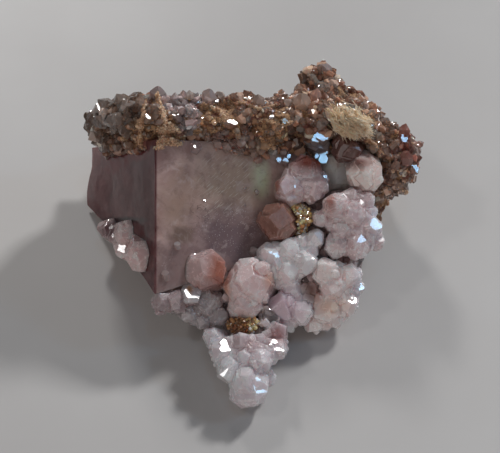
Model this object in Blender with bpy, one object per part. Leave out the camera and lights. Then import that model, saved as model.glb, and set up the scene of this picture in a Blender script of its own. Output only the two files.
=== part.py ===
"""Fluorite specimen: a lilac fluorite cube under a brown limonite crust, with pink quartz crystals below it.

Run it in Blender. It builds one object for each piece of the specimen, in metres, +Z up, and stands the
specimen on its flat broken base. Most shapes are laid out in the display face's own directions, in
millimetres: u to the right, v up the face, and w out of the face. The display face leans back from the table.
"""

import math
import random
from itertools import combinations

import bmesh
import bpy
import numpy as np
from mathutils import Matrix, Vector, noise

# ---------------------------------------------------------------- driving dimensions
MM = 0.001
LEAN = math.radians(38.0)  # the display face's angle up from the table
ORIGIN_U = 0.77  # where the middle of the specimen's box is, across the display face
ORIGIN_Y = 30.7  # and how far behind the face's foot, along the table
GAP = 0.32  # left between pieces that touch
LUMP_GAP = 0.42  # and beside a lump, whose facets wander

CUBE_EDGE_U = -17.1  # the cube's front vertical edge
CUBE_TURN = math.radians(27.0)  # the cube's turn about that edge
CUBE_FRONT = 39.0  # width of the face on the right of the edge
CUBE_SIDE = 32.0  # width of the face on the left of it
CUBE_TOP = 47.0
CUBE_FOOT = 20.8  # where the front edge ends
CUBE_UNDERCUT = 0.59  # how fast the underside climbs towards the back
CUBE_BACK = -28.0  # the plane behind which the cube is grown into the rock

# Quartz crystals. The reaches are how far the faces lie from the middle, in radii, from least to most.
RHOMB = math.radians(51.8)  # an end face's normal, from the crystal's length
SIDE_REACH = (0.88, 1.04)
MAJOR_END_REACH = (0.78, 0.92)
MINOR_END_REACH = (0.88, 1.06)
TWIN_RADIUS = 2.1  # crystals at least this big have smaller ones grown with them
TWINS = 2
TWIN_SIZE = (0.56, 0.68)  # in the crystal's radii, as are the next two
TWIN_SHIFT = 0.52
TWIN_RISE = (-0.1, 0.15)
TWIN_STEP = math.radians(150.0)  # from one of them round to the next
TWIN_TILT = math.radians(9.0)
ROW_SEEDS = 100  # seeds kept for the crystals of one cluster

ROCK_CELL = 3.6  # the rock's facet size
ROCK_ROUGH = 2.2  # how far the rock's surface wanders
BLOCK = 6.0  # and over what distance
BLOCK_LEVEL = 0.45  # the height, of the blocks' noise, that is left where it was
FINE_SHARE = 0.4  # a finer noise's part in the wandering
FINE_STEPS = 2.0  # its steps to one block
TUFT_CELL = 1.2
TUFT_ROUGH = 0.6
PATCH_CELL = 1.3
PATCH_ROUGH = 0.8

MERGE = 0.02  # corners closer than this are one
FLAT = math.radians(1.0)  # faces that meet flatter than this are one
TABLE_WIDTH = 200.0
TABLE_DEPTH = 40.0

# Crystals: u, v, w of the middle, radius, then the direction that the point leans to across the face
# (0 right, 90 up), how far it leans, and how long its body is behind its middle, in radii.
LEFT = (
    (-22.9, 31.7, -10.2, 2.4, 150, 24, 2.2),
    (-19.7, 27.7, -4.4, 2.9, 290, 16, 2.4),
    (-26.9, 32.4, -17.0, 2.0, 190, 40, 1.8),
    (-23.3, 28.7, -10.6, 2.0, 230, 36, 2.0),
    (-25.1, 31.0, -14.6, 1.8, 210, 36, 2.0),
)
BALL_LEFT = ((-8.2, 25.1, -3.5, 3.5, 100, 18, 1.9),)
BALL_CENTRE = (
    (-0.2, 22.7, -3.8, 4.1, 150, 16, 1.5),
    (-0.9, 18.8, -4.2, 2.9, 250, 22, 1.5),
)
POINT_FOOT = ((-10.9, 20.4, -2.2, 1.9, 250, 30, 2.2),)
FOOT_BLOCKS = (
    (-16.2, 19.3, -1.6, 1.8, 200, 25, 1.8),
    (-13.7, 19.5, -2.2, 1.9, 90, 12, 1.8),
)
FOOT_DRUSE = (
    (-7.7, 18.6, -5.2, 2.4, 240, 20, 1.6),
    (-11.4, 17.0, -4.6, 1.6, 230, 30, 1.6),
    (-8.6, 15.6, -4.8, 1.5, 250, 35, 1.6),
    (-5.6, 16.4, -4.6, 1.6, 300, 20, 1.8),
)
TIP = (
    (-6.9, 13.0, -1.5, 1.7, 160, 35, 2.4),
    (-5.2, 10.5, 0.3, 2.1, 170, 32, 2.4),
    (-3.6, 7.2, 1.2, 2.4, 200, 28, 2.2),
    (-0.3, 3.8, 2.8, 3.2, 262, 34, 1.1),
    (1.9, 9.0, 2.2, 2.1, 20, 22, 2.4),
    (4.9, 11.0, 0.0, 2.0, 350, 30, 2.4),
    (-1.5, 12.1, 0.5, 1.8, 110, 18, 2.6),
    (1.7, 12.2, -0.6, 1.5, 60, 20, 2.6),
    (3.3, 5.6, -0.2, 1.5, 330, 45, 2.0),
    (-0.9, 9.4, 1.6, 1.7, 150, 10, 2.6),
    (5.2, 13.6, -2.2, 1.8, 340, 25, 2.0),
)
CENTRE = (
    (3.5, 27.6, -6.4, 2.3, 150, 20, 1.6),
    (7.3, 28.6, -5.9, 2.2, 60, 18, 1.6),
    (4.3, 24.6, -6.2, 1.9, 260, 16, 1.6),
    (7.2, 24.7, -5.2, 2.1, 330, 14, 1.8),
    (10.3, 26.4, -5.2, 2.1, 30, 22, 1.8),
    (5.9, 18.1, -5.7, 2.7, 220, 18, 1.5),
    (9.4, 17.2, -5.2, 2.1, 280, 26, 1.8),
    (7.7, 21.3, -6.4, 2.0, 100, 14, 1.6),
    (6.6, 15.1, -6.2, 1.7, 250, 34, 1.5),
    (11.4, 21.0, -7.4, 1.9, 10, 24, 1.3),
    (12.0, 30.8, -5.8, 1.6, 70, 22, 1.8),
    (9.9, 29.9, -6.2, 1.7, 110, 18, 1.6),
    (1.9, 26.3, -7.6, 1.4, 200, 26, 1.4),
)
LOWER_RIGHT = (
    (13.9, 24.9, -5.2, 2.4, 140, 22, 1.8),
    (15.2, 22.0, -5.0, 2.1, 230, 14, 1.8),
    (18.2, 24.1, -5.6, 2.2, 20, 22, 1.8),
    (13.9, 17.9, -6.2, 2.7, 230, 24, 1.6),
    (18.0, 18.6, -7.0, 2.0, 320, 32, 1.6),
    (16.7, 20.4, -6.6, 1.8, 330, 20, 1.6),
    (11.7, 15.0, -7.4, 1.8, 260, 35, 1.2),
    (19.6, 21.8, -8.0, 1.6, 0, 40, 1.4),
    (15.6, 15.9, -7.6, 1.8, 280, 36, 1.2),
)
RIGHT = (
    (15.9, 36.6, -5.2, 2.3, 130, 20, 1.8),
    (19.0, 35.1, -4.8, 2.1, 240, 12, 2.0),
    (21.3, 37.8, -6.4, 1.7, 50, 26, 1.8),
    (15.9, 29.6, -6.0, 2.1, 220, 24, 1.6),
    (19.6, 29.4, -5.7, 2.3, 300, 22, 1.8),
    (22.4, 33.1, -6.2, 1.9, 10, 28, 1.8),
    (13.1, 34.4, -6.2, 1.5, 190, 24, 1.6),
    (17.0, 32.6, -5.4, 1.8, 160, 10, 1.8),
    (18.6, 38.5, -6.2, 1.7, 80, 24, 1.8),
    (23.4, 30.2, -8.8, 1.6, 340, 44, 1.4),
)
UPPER = (
    (10.1, 43.2, -8.6, 2.9, 110, 18, 2.0),
    (7.1, 40.0, -7.8, 2.6, 200, 18, 2.0),
    (11.7, 40.2, -7.9, 2.5, 300, 12, 2.2),
    (13.5, 41.8, -9.4, 1.3, 20, 30, 2.0),
)
CRYSTAL_BROWN = ((4.9, 33.8, -7.0, 3.2, 200, 26, 1.4),)
CRYSTAL_CREAM = ((21.2, 42.2, -7.4, 2.8, 280, 30, 2.2),)
CRYSTAL_DARK = ((17.9, 47.4, -9.6, 2.6, 220, 24, 1.8),)

# Rounded lumps, u, v, w of the middle and the half sizes along the same directions.
TUFT_UPPER = (9.2, 34.4, -7.6, 2.4, 3.6, 2.6)
TUFT_LOWER = (-1.3, 15.1, -3.6, 3.7, 2.1, 2.2)
PATCH = (18.4, 52.2, -7.2, 4.1, 3.2, 3.0)
ROCK_LUMPS = (
    (-27.2, 51.4, -13.5, 4.8, 5.4, 9.5),
    (-20.0, 52.2, -9.5, 7.0, 6.4, 12.5),
    (-12.0, 52.3, -10.0, 7.5, 6.6, 12.5),
    (-3.0, 52.0, -12.0, 8.0, 6.6, 12.5),
    (4.0, 52.0, -13.0, 7.5, 6.3, 11.5),
    (13.0, 53.0, -14.0, 8.0, 5.0, 10.5),
    (13.6, 57.8, -20.0, 5.6, 7.6, 6.5),
    (18.8, 54.8, -18.5, 6.2, 5.6, 7.0),
    (26.5, 45.8, -14.5, 6.9, 8.2, 8.0),
    (27.5, 49.0, -16.0, 4.5, 4.4, 6.0),
    (13.5, 29.0, -17.0, 9.0, 13.0, 9.5),
    (10.5, 23.0, -12.6, 9.5, 9.0, 6.0),
    (1.0, 14.0, -6.6, 5.8, 6.8, 4.6),
    (-6.0, 22.0, -12.0, 9.5, 6.5, 5.5),
    (19.0, 42.0, -24.0, 10.0, 12.0, 8.0),
    (4.0, 44.0, -29.0, 17.0, 12.0, 9.5),
    (-14.0, 46.0, -28.0, 14.5, 10.5, 10.0),
)


# ---------------------------------------------------------------- small helpers
def clear_scene():
    for thing in list(bpy.data.objects):
        bpy.data.objects.remove(thing, do_unlink=True)


def material(name, colour, roughness, transmission=0.0, ior=1.5):
    made = bpy.data.materials.new(name)
    made.use_nodes = True
    shader = made.node_tree.nodes["Principled BSDF"]
    shader.inputs["Base Color"].default_value = (*colour, 1.0)
    shader.inputs["Roughness"].default_value = roughness
    shader.inputs["Metallic"].default_value = 0.0
    shader.inputs["Transmission Weight"].default_value = transmission
    shader.inputs["IOR"].default_value = ior
    return made


def new_object(name, mesh, parent=None):
    thing = bpy.data.objects.new(name, mesh)
    bpy.context.scene.collection.objects.link(thing)
    thing.parent = parent
    return thing


def apply_modifiers(thing):
    """Put the evaluated mesh in place of the object's own and drop its modifiers."""
    bpy.context.view_layer.update()
    graph = bpy.context.evaluated_depsgraph_get()
    thing.data = bpy.data.meshes.new_from_object(thing.evaluated_get(graph))
    thing.modifiers.clear()


def boolean(target, other, operation, solver="EXACT"):
    step = target.modifiers.new(operation.title(), "BOOLEAN")
    step.operation = operation
    step.object = other
    step.solver = solver
    apply_modifiers(target)


def discard(thing):
    bpy.data.objects.remove(thing, do_unlink=True)


# ---------------------------------------------------------------- solids bounded by planes
def hull_from_planes(normals, distances):
    """The corners of the solid that lies within distance of the origin along each normal, in millimetres."""
    normals = np.array(normals, float)
    distances = np.array(distances, float)
    picks = np.array(list(combinations(range(len(normals)), 3)))
    triples = normals[picks]
    crossing = np.abs(np.linalg.det(triples)) > 1e-6
    picks = picks[crossing]
    corners = np.linalg.solve(normals[picks], distances[picks][..., None])[..., 0]
    inside = (corners @ normals.T <= distances + 1e-6).all(axis=1)
    return corners[inside]


def hull_mesh(corners):
    """A closed mesh of flat faces around corners in millimetres, stored in metres."""
    shape = bmesh.new()
    for corner in corners:
        shape.verts.new(Vector(corner) * MM)
    bmesh.ops.remove_doubles(shape, verts=shape.verts, dist=MERGE * MM)
    bmesh.ops.convex_hull(shape, input=shape.verts)
    loose = [vert for vert in shape.verts if not vert.link_faces]
    bmesh.ops.delete(shape, geom=loose, context="VERTS")
    bmesh.ops.dissolve_limit(shape, angle_limit=FLAT, verts=shape.verts, edges=shape.edges)
    bmesh.ops.recalc_face_normals(shape, faces=shape.faces)
    mesh = bpy.data.meshes.new("hull")
    shape.to_mesh(mesh)
    shape.free()
    return mesh


def crystal_planes(radius, root, dice):
    """A quartz crystal's six sides, six end faces and broken root, as normals and distances."""
    normals = []
    distances = []
    along = Vector((0.0, 0.0, 1.0))
    for side in range(6):
        turn = math.tau * side / 6
        flat = Vector((math.cos(turn), math.sin(turn), 0.0))
        normals.append(flat)
        distances.append(radius * dice.uniform(*SIDE_REACH))
        normals.append(flat * math.sin(RHOMB) + along * math.cos(RHOMB))
        distances.append(radius * dice.uniform(*(MINOR_END_REACH if side % 2 else MAJOR_END_REACH)))
    normals.append(-along)
    distances.append(radius * root)
    return normals, distances


def crystal_frames(row, seed):
    """The upright main crystal and the smaller ones grown with it: a matrix and planes for each."""
    u, v, w, radius, toward, lean, root = row
    dice = random.Random(seed)
    aim = Matrix.Rotation(math.radians(toward), 4, "Z") @ Matrix.Rotation(math.radians(lean), 4, "Y")
    place = Matrix.Translation((u, v, w)) @ aim
    main = place @ Matrix.Rotation(dice.uniform(0.0, 1.0), 4, "Z")
    frames = [(main, crystal_planes(radius, root, dice))]
    if radius < TWIN_RADIUS:
        return frames
    start = dice.uniform(0.0, math.tau)
    for twin in range(TWINS):
        side = start + TWIN_STEP * twin
        small = radius * dice.uniform(*TWIN_SIZE)
        rise = dice.uniform(*TWIN_RISE)
        shift = Vector((TWIN_SHIFT * math.cos(side), TWIN_SHIFT * math.sin(side), TWIN_SHIFT * rise)) * radius
        tip = Matrix.Rotation(dice.uniform(-TWIN_TILT, TWIN_TILT), 4, "X")
        spin = Matrix.Rotation(dice.uniform(0.0, 1.0), 4, "Z")
        frame = place @ Matrix.Translation(shift) @ tip @ spin
        frames.append((frame, crystal_planes(small, root, dice)))
    return frames


def crystal_solid(name, rows, seed, parent, grow=0.0):
    """One closed solid of all the crystals in rows, each face moved out by grow."""
    solid = None
    for number, row in enumerate(rows):
        for frame, (normals, distances) in crystal_frames(row, seed * ROW_SEEDS + number):
            corners = hull_from_planes(normals, [reach + grow for reach in distances])
            placed = [frame @ Vector(corner) for corner in corners]
            piece = new_object(name if solid is None else "part", hull_mesh(placed), parent)
            if solid is None:
                solid = piece
                continue
            boolean(solid, piece, "UNION")
            discard(piece)
    return solid


# ---------------------------------------------------------------- fluorite
def cube_planes():
    """The turned cube's faces, its climbing underside and its back, through the front edge's top end."""
    across = Vector((math.sin(CUBE_TURN), 0.0, math.cos(CUBE_TURN)))
    aside = Vector((-math.cos(CUBE_TURN), 0.0, math.sin(CUBE_TURN)))
    edge = Vector((CUBE_EDGE_U, 0.0, 0.0))
    under = Vector((0.0, -1.0, -CUBE_UNDERCUT)).normalized()
    faces = (
        (across, across.dot(edge)),
        (aside, aside.dot(edge)),
        (-across, CUBE_SIDE - across.dot(edge)),
        (-aside, CUBE_FRONT - aside.dot(edge)),
        (Vector((0.0, 1.0, 0.0)), CUBE_TOP),
        (under, under.dot(Vector((0.0, CUBE_FOOT, 0.0)))),
        (Vector((0.0, 0.0, -1.0)), -CUBE_BACK),
    )
    return [normal for normal, _ in faces], [reach for _, reach in faces]


def cube_solid(name, parent, grow=0.0):
    normals, distances = cube_planes()
    corners = hull_from_planes(normals, [reach + grow for reach in distances])
    return new_object(name, hull_mesh(corners), parent)


# ---------------------------------------------------------------- limonite and rock
def add_lump(shape, row, grow):
    """One rounded lump, grown by that much all round."""
    middle = Vector(row[:3]) * MM
    halves = [(half + grow) * MM for half in row[3:]]
    place = Matrix.Translation(middle) @ Matrix.Diagonal((*halves, 1.0))
    bmesh.ops.create_icosphere(shape, subdivisions=3, radius=1.0, matrix=place)


def wander(place):
    """A noise that makes blocks one unit across, with finer relief on them."""
    blocks = noise.voronoi(place)[0][0] - BLOCK_LEVEL
    return blocks + FINE_SHARE * noise.noise(place * FINE_STEPS)


def roughen(mesh, depth):
    """Move each corner in along its normal by the wandering noise of its place."""
    shape = bmesh.new()
    shape.from_mesh(mesh)
    shape.normal_update()
    moves = [wander(vert.co / (BLOCK * MM)) * depth * MM for vert in shape.verts]
    for vert, move in zip(shape.verts, moves):
        vert.co -= vert.normal * move
    shape.to_mesh(mesh)
    shape.free()


def lump_solid(name, rows, cell, depth, parent, grow=0.0):
    """Overlapping lumps made one skin of facets about cell across, then roughened."""
    shape = bmesh.new()
    for row in rows:
        add_lump(shape, row, grow)
    mesh = bpy.data.meshes.new(name)
    shape.to_mesh(mesh)
    shape.free()
    solid = new_object(name, mesh, parent)
    skin = solid.modifiers.new("Skin", "REMESH")
    skin.mode = "VOXEL"
    skin.voxel_size = cell * MM
    apply_modifiers(solid)
    roughen(solid.data, depth)
    return solid


def below_table():
    """A slab under the table's surface, which cuts the base flat."""
    shape = bmesh.new()
    size = Matrix.Diagonal((TABLE_WIDTH * MM, TABLE_WIDTH * MM, TABLE_DEPTH * MM, 1.0))
    place = Matrix.Translation((0.0, 0.0, -TABLE_DEPTH * MM / 2)) @ size
    bmesh.ops.create_cube(shape, size=1.0, matrix=place)
    mesh = bpy.data.meshes.new("below_table")
    shape.to_mesh(mesh)
    shape.free()
    return new_object("below_table", mesh)


# ---------------------------------------------------------------- keeping pieces apart
def world_box(thing):
    """The lowest and the highest corner of an object's box."""
    corners = np.array([thing.matrix_world @ Vector(corner) for corner in thing.bound_box])
    return corners.min(axis=0), corners.max(axis=0)


def boxes_meet(one, other):
    bpy.context.view_layer.update()
    low, high = world_box(one)
    other_low, other_high = world_box(other)
    return bool((high > other_low).all() and (other_high > low).all())


def carve(piece, cutters, solver):
    """Cut the room of each earlier piece out of this one."""
    for cutter in cutters:
        if boxes_meet(piece, cutter):
            boolean(piece, cutter, "DIFFERENCE", solver)


def islands_of(shape):
    """The corners of each separate body in a mesh, the body with the most corners last."""
    waiting = set(shape.verts)
    islands = []
    while waiting:
        island = set()
        rim = {waiting.pop()}
        while rim:
            island |= rim
            rim = {edge.other_vert(vert) for vert in rim for edge in vert.link_edges} - island
            waiting -= rim
        islands.append(island)
    return sorted(islands, key=len)


def keep_largest(thing):
    """Drop the chips that a cut leaves loose, and make faces that are nearly flat into one."""
    shape = bmesh.new()
    shape.from_mesh(thing.data)
    for chip in islands_of(shape)[:-1]:
        bmesh.ops.delete(shape, geom=list(chip), context="VERTS")
    bmesh.ops.dissolve_limit(shape, angle_limit=FLAT / 2, verts=shape.verts, edges=shape.edges)
    shape.to_mesh(thing.data)
    shape.free()


# ---------------------------------------------------------------- the specimen
def finish_piece(piece, finish):
    keep_largest(piece)
    piece.data.materials.clear()
    piece.data.materials.append(finish)


def build():
    clear_scene()
    lilac = material("fluorite", (0.34, 0.29, 0.30), 0.12, 0.8, 1.43)
    pink = material("pink_quartz", (0.60, 0.42, 0.40), 0.3, 0.4, 1.55)
    clear = material("clear_quartz", (0.62, 0.58, 0.62), 0.25, 0.5, 1.55)
    brown_quartz = material("brown_quartz", (0.36, 0.22, 0.17), 0.35, 0.3, 1.55)
    cream = material("cream_quartz", (0.62, 0.52, 0.46), 0.4, 0.2, 1.55)
    brown = material("limonite", (0.26, 0.16, 0.10), 0.8)
    yellow = material("yellow_limonite", (0.50, 0.38, 0.22), 0.85)

    face = bpy.data.objects.new("display_face", None)
    bpy.context.scene.collection.objects.link(face)
    face.rotation_euler = (LEAN, 0.0, 0.0)
    face.location = (-ORIGIN_U * MM, -ORIGIN_Y * MM, 0.0)

    crystals = (
        ("quartz_ball_left", BALL_LEFT, pink),
        ("quartz_ball_centre", BALL_CENTRE, pink),
        ("quartz_point_foot", POINT_FOOT, clear),
        ("quartz_crystal_brown", CRYSTAL_BROWN, brown_quartz),
        ("quartz_crystal_cream", CRYSTAL_CREAM, cream),
        ("quartz_crystal_dark", CRYSTAL_DARK, brown_quartz),
        ("quartz_cluster_upper", UPPER, pink),
        ("quartz_cluster_centre", CENTRE, clear),
        ("quartz_cluster_right", RIGHT, pink),
        ("quartz_cluster_lower_right", LOWER_RIGHT, pink),
        ("quartz_cluster_tip", TIP, clear),
        ("quartz_foot_blocks", FOOT_BLOCKS, clear),
        ("quartz_foot_druse", FOOT_DRUSE, clear),
        ("quartz_cluster_left", LEFT, pink),
    )
    lumps = (
        ("limonite_tuft_upper", (TUFT_UPPER,), TUFT_CELL, TUFT_ROUGH, brown),
        ("limonite_tuft_lower", (TUFT_LOWER,), TUFT_CELL, TUFT_ROUGH, brown),
        ("limonite_patch", (PATCH,), PATCH_CELL, PATCH_ROUGH, yellow),
        ("host_rock", ROCK_LUMPS, ROCK_CELL, ROCK_ROUGH, brown),
    )

    cube = cube_solid("fluorite_cube", face)
    cube.data.materials.append(lilac)
    rooms = [cube_solid("fluorite_cube_room", face, GAP)]
    for seed, (name, rows, finish) in enumerate(crystals, 1):
        piece = crystal_solid(name, rows, seed, face)
        carve(piece, rooms, "EXACT")
        finish_piece(piece, finish)
        rooms.append(crystal_solid(name + "_room", rows, seed, face, GAP))
    for name, rows, cell, depth, finish in lumps:
        piece = lump_solid(name, rows, cell, depth, face)
        if name == "host_rock":
            table = below_table()
            boolean(piece, table, "DIFFERENCE", "MANIFOLD")
            discard(table)
        carve(piece, rooms, "MANIFOLD")
        finish_piece(piece, finish)
        rooms.append(lump_solid(name + "_room", rows, cell, depth, face, LUMP_GAP))
    for room in rooms:
        discard(room)


build()
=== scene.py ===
"""The fluorite specimen's looks: a cloudy lilac cube under a brown druse crust, with pink quartz below it.

Shapes are laid out on the display face, in millimetres: u to the right, v up the face and w out of it. The
display face leans back from the table, and FACE takes its directions to the frame's. Materials turn their
coordinates back to u, v and w.
"""

import math
import random
from itertools import combinations

import bmesh
import bpy
import numpy as np
from mathutils import Matrix, Vector, noise
from mathutils.bvhtree import BVHTree


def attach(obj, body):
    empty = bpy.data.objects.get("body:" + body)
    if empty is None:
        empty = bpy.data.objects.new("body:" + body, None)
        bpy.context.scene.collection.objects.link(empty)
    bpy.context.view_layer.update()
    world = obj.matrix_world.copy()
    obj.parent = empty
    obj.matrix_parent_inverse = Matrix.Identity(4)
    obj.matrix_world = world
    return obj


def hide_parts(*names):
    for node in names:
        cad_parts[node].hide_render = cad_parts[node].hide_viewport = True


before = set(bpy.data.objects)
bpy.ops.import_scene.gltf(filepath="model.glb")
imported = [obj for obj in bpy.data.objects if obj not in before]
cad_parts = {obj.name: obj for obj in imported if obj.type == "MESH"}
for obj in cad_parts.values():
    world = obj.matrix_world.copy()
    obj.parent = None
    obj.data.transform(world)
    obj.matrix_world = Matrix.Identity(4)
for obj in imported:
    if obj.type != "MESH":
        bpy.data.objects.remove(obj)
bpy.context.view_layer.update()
noise.seed_set(1795484485)  # noise_vector follows the clock unless it has a seed

# ---------------------------------------------------------------- driving sizes, in millimetres
MM = 0.001
LEAN = math.radians(38.0)  # the display face's angle up from the table
ORIGIN_U = 0.77
ORIGIN_Y = 30.7
FACE = Matrix.Translation((-ORIGIN_U * MM, -ORIGIN_Y * MM, 0.0)) @ Matrix.Rotation(LEAN, 4, "X")
TO_FACE = FACE.inverted()

CAMERA_V = 33.03  # the height on the display face that the camera looks at
CAMERA_REACH = 280.0  # from the display face's plane
EYE = Vector((0.0, CAMERA_V, CAMERA_REACH))
VIEW_WIDTH = 90.0  # of the display face's plane, across the picture
SENSOR = 36.0
NEAREST = 0.01  # the camera shows nothing nearer than this, in metres

CUBE_EDGE_U = -17.1  # the cube's front vertical edge
CUBE_TURN = math.radians(27.0)
CUBE_FRONT = 39.0
CUBE_SIDE = 32.0
CUBE_TOP = 47.0
CUBE_FOOT = 20.8
CUBE_UNDERCUT = 0.59
CUBE_BACK = -28.0
CUBE_BEVEL = 0.16
SLICE = 1.0  # between the cuts that let the cube's faces wander
BROAD_WAVES = 0.16  # to a millimetre, and how far they move the faces
BROAD_WANDER = 0.16
FINE_WAVES = 0.7
FINE_WANDER = 0.04
HIDDEN_TOP = 1.7  # the crystal goes on up into the rock
BULGE = 1.0  # how far the left side's far edge bulges, from which u, and at which v
BULGE_FROM = -26.5
BULGE_V = 39.0
BULGE_HALF = 5.5
BULGE_WIDTH = 3.0
NOSE = ((13.4, 18.2), (40.2, 46.4))  # where the front side's far part stands proud, by u and v
NOSE_HEIGHT = 5.0
CUBE_SIDE_REACH = -math.cos(CUBE_TURN) * CUBE_EDGE_U  # the left side's plane, along its normal
ACROSS = Vector((math.sin(CUBE_TURN), 0.0, math.cos(CUBE_TURN)))  # the cube's front side's normal
ASIDE = Vector((-math.cos(CUBE_TURN), 0.0, math.sin(CUBE_TURN)))  # and its left side's

RHOMB = math.radians(51.8)  # a quartz end face's normal, from the crystal's length
SIDE_REACH = (0.88, 1.04)
MAJOR_END_REACH = (0.78, 0.92)
MINOR_END_REACH = (0.88, 1.06)
TWIN_RADIUS = 2.1
TWINS = 2
TWIN_SIZE = (0.56, 0.68)
TWIN_SHIFT = 0.52
TWIN_RISE = (-0.1, 0.15)
TWIN_STEP = math.radians(150.0)
TWIN_TILT = math.radians(9.0)
ROW_SEEDS = 100

# Crystals: u, v, w of the middle, radius, the direction that the point leans to across the face (0 right,
# 90 up), how far it leans, and how long its body is behind its middle, in radii.
CLUSTERS = {
    "quartz_ball_left": ((-8.2, 25.1, -3.5, 3.5, 100, 18, 1.9),),
    "quartz_ball_centre": (
        (-0.2, 22.7, -3.8, 4.1, 150, 16, 1.5),
        (-0.9, 18.8, -4.2, 2.9, 250, 22, 1.5),
    ),
    "quartz_point_foot": ((-10.9, 20.4, -2.2, 1.9, 250, 30, 2.2),),
    "quartz_crystal_brown": ((4.9, 33.8, -7.0, 3.2, 200, 26, 1.4),),
    "quartz_crystal_cream": ((21.2, 42.2, -7.4, 2.8, 280, 30, 2.2),),
    "quartz_crystal_dark": ((17.9, 47.4, -9.6, 2.6, 220, 24, 1.8),),
    "quartz_cluster_upper": (
        (10.1, 43.2, -8.6, 2.9, 110, 18, 2.0),
        (7.1, 40.0, -7.8, 2.6, 200, 18, 2.0),
        (11.7, 40.2, -7.9, 2.5, 300, 12, 2.2),
        (13.5, 41.8, -9.4, 1.3, 20, 30, 2.0),
    ),
    "quartz_cluster_centre": (
        (3.5, 27.6, -6.4, 2.3, 150, 20, 1.6),
        (7.3, 28.6, -5.9, 2.2, 60, 18, 1.6),
        (4.3, 24.6, -6.2, 1.9, 260, 16, 1.6),
        (7.2, 24.7, -5.2, 2.1, 330, 14, 1.8),
        (10.3, 26.4, -5.2, 2.1, 30, 22, 1.8),
        (5.9, 18.1, -5.7, 2.7, 220, 18, 1.5),
        (9.4, 17.2, -5.2, 2.1, 280, 26, 1.8),
        (7.7, 21.3, -6.4, 2.0, 100, 14, 1.6),
        (6.6, 15.1, -6.2, 1.7, 250, 34, 1.5),
        (11.4, 21.0, -7.4, 1.9, 10, 24, 1.3),
        (12.0, 30.8, -5.8, 1.6, 70, 22, 1.8),
        (9.9, 29.9, -6.2, 1.7, 110, 18, 1.6),
        (1.9, 26.3, -7.6, 1.4, 200, 26, 1.4),
    ),
    "quartz_cluster_right": (
        (15.9, 36.6, -5.2, 2.3, 130, 20, 1.8),
        (19.0, 35.1, -4.8, 2.1, 240, 12, 2.0),
        (21.3, 37.8, -6.4, 1.7, 50, 26, 1.8),
        (15.9, 29.6, -6.0, 2.1, 220, 24, 1.6),
        (19.6, 29.4, -5.7, 2.3, 300, 22, 1.8),
        (22.4, 33.1, -6.2, 1.9, 10, 28, 1.8),
        (13.1, 34.4, -6.2, 1.5, 190, 24, 1.6),
        (17.0, 32.6, -5.4, 1.8, 160, 10, 1.8),
        (18.6, 38.5, -6.2, 1.7, 80, 24, 1.8),
        (23.4, 30.2, -8.8, 1.6, 340, 44, 1.4),
    ),
    "quartz_cluster_lower_right": (
        (13.9, 24.9, -5.2, 2.4, 140, 22, 1.8),
        (15.2, 22.0, -5.0, 2.1, 230, 14, 1.8),
        (18.2, 24.1, -5.6, 2.2, 20, 22, 1.8),
        (13.9, 17.9, -6.2, 2.7, 230, 24, 1.6),
        (18.0, 18.6, -7.0, 2.0, 320, 32, 1.6),
        (16.7, 20.4, -6.6, 1.8, 330, 20, 1.6),
        (11.7, 15.0, -7.4, 1.8, 260, 35, 1.2),
        (19.6, 21.8, -8.0, 1.6, 0, 40, 1.4),
        (15.6, 15.9, -7.6, 1.8, 280, 36, 1.2),
    ),
    "quartz_cluster_tip": (
        (-6.9, 13.0, -1.5, 1.7, 160, 35, 2.4),
        (-5.2, 10.5, 0.3, 2.1, 170, 32, 2.4),
        (-3.6, 7.2, 1.2, 2.4, 200, 28, 2.2),
        (-0.3, 3.8, 2.8, 3.2, 262, 34, 1.1),
        (1.9, 9.0, 2.2, 2.1, 20, 22, 2.4),
        (4.9, 11.0, 0.0, 2.0, 350, 30, 2.4),
        (-1.5, 12.1, 0.5, 1.8, 110, 18, 2.6),
        (1.7, 12.2, -0.6, 1.5, 60, 20, 2.6),
        (3.3, 5.6, -0.2, 1.5, 330, 45, 2.0),
        (-0.9, 9.4, 1.6, 1.7, 150, 10, 2.6),
        (5.2, 13.6, -2.2, 1.8, 340, 25, 2.0),
    ),
    "quartz_foot_blocks": (
        (-16.2, 19.3, -1.6, 1.8, 200, 25, 1.8),
        (-13.7, 19.5, -2.2, 1.9, 90, 12, 1.8),
    ),
    "quartz_foot_druse": (
        (-7.7, 18.6, -5.2, 2.4, 240, 20, 1.6),
        (-11.4, 17.0, -4.6, 1.6, 230, 30, 1.6),
        (-8.6, 15.6, -4.8, 1.5, 250, 35, 1.6),
        (-5.6, 16.4, -4.6, 1.6, 300, 20, 1.8),
    ),
    "quartz_cluster_left": (
        (-22.9, 31.7, -10.2, 2.4, 150, 24, 2.2),
        (-19.7, 27.7, -4.4, 2.9, 290, 16, 2.4),
        (-26.9, 32.4, -17.0, 2.0, 190, 40, 1.8),
        (-23.3, 28.7, -10.6, 2.0, 230, 36, 2.0),
        (-25.1, 31.0, -14.6, 1.8, 210, 36, 2.0),
    ),
}

# Growth on each crystal: steps are nearly its size and parallel to it, buds are small and stand at its foot.
STEPS = 3
STEP_SIZE = (0.55, 0.88)
STEP_SHIFT = (0.15, 0.42)
STEP_RISE = (-0.05, 0.12)
BUDS = 7
BUD_SIZE = (0.2, 0.45)
BUD_SHIFT = (0.45, 0.9)
BUD_RISE = (-0.35, 0.35)
BUD_TILT = math.radians(28.0)
# Nodes whose crystals have less growth.
CALM = ("quartz_crystal_brown", "quartz_crystal_cream", "quartz_crystal_dark", "quartz_cluster_left")
BRIDGE_REACH = 1.35  # neighbours nearer than this, in their radii together, have a crystal between them
BRIDGE_SIZE = 0.95
BRIDGE_SINK = 0.22
BRIDGE_LEAN = 0.7  # of its neighbour's lean
BEVEL = 0.06

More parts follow.
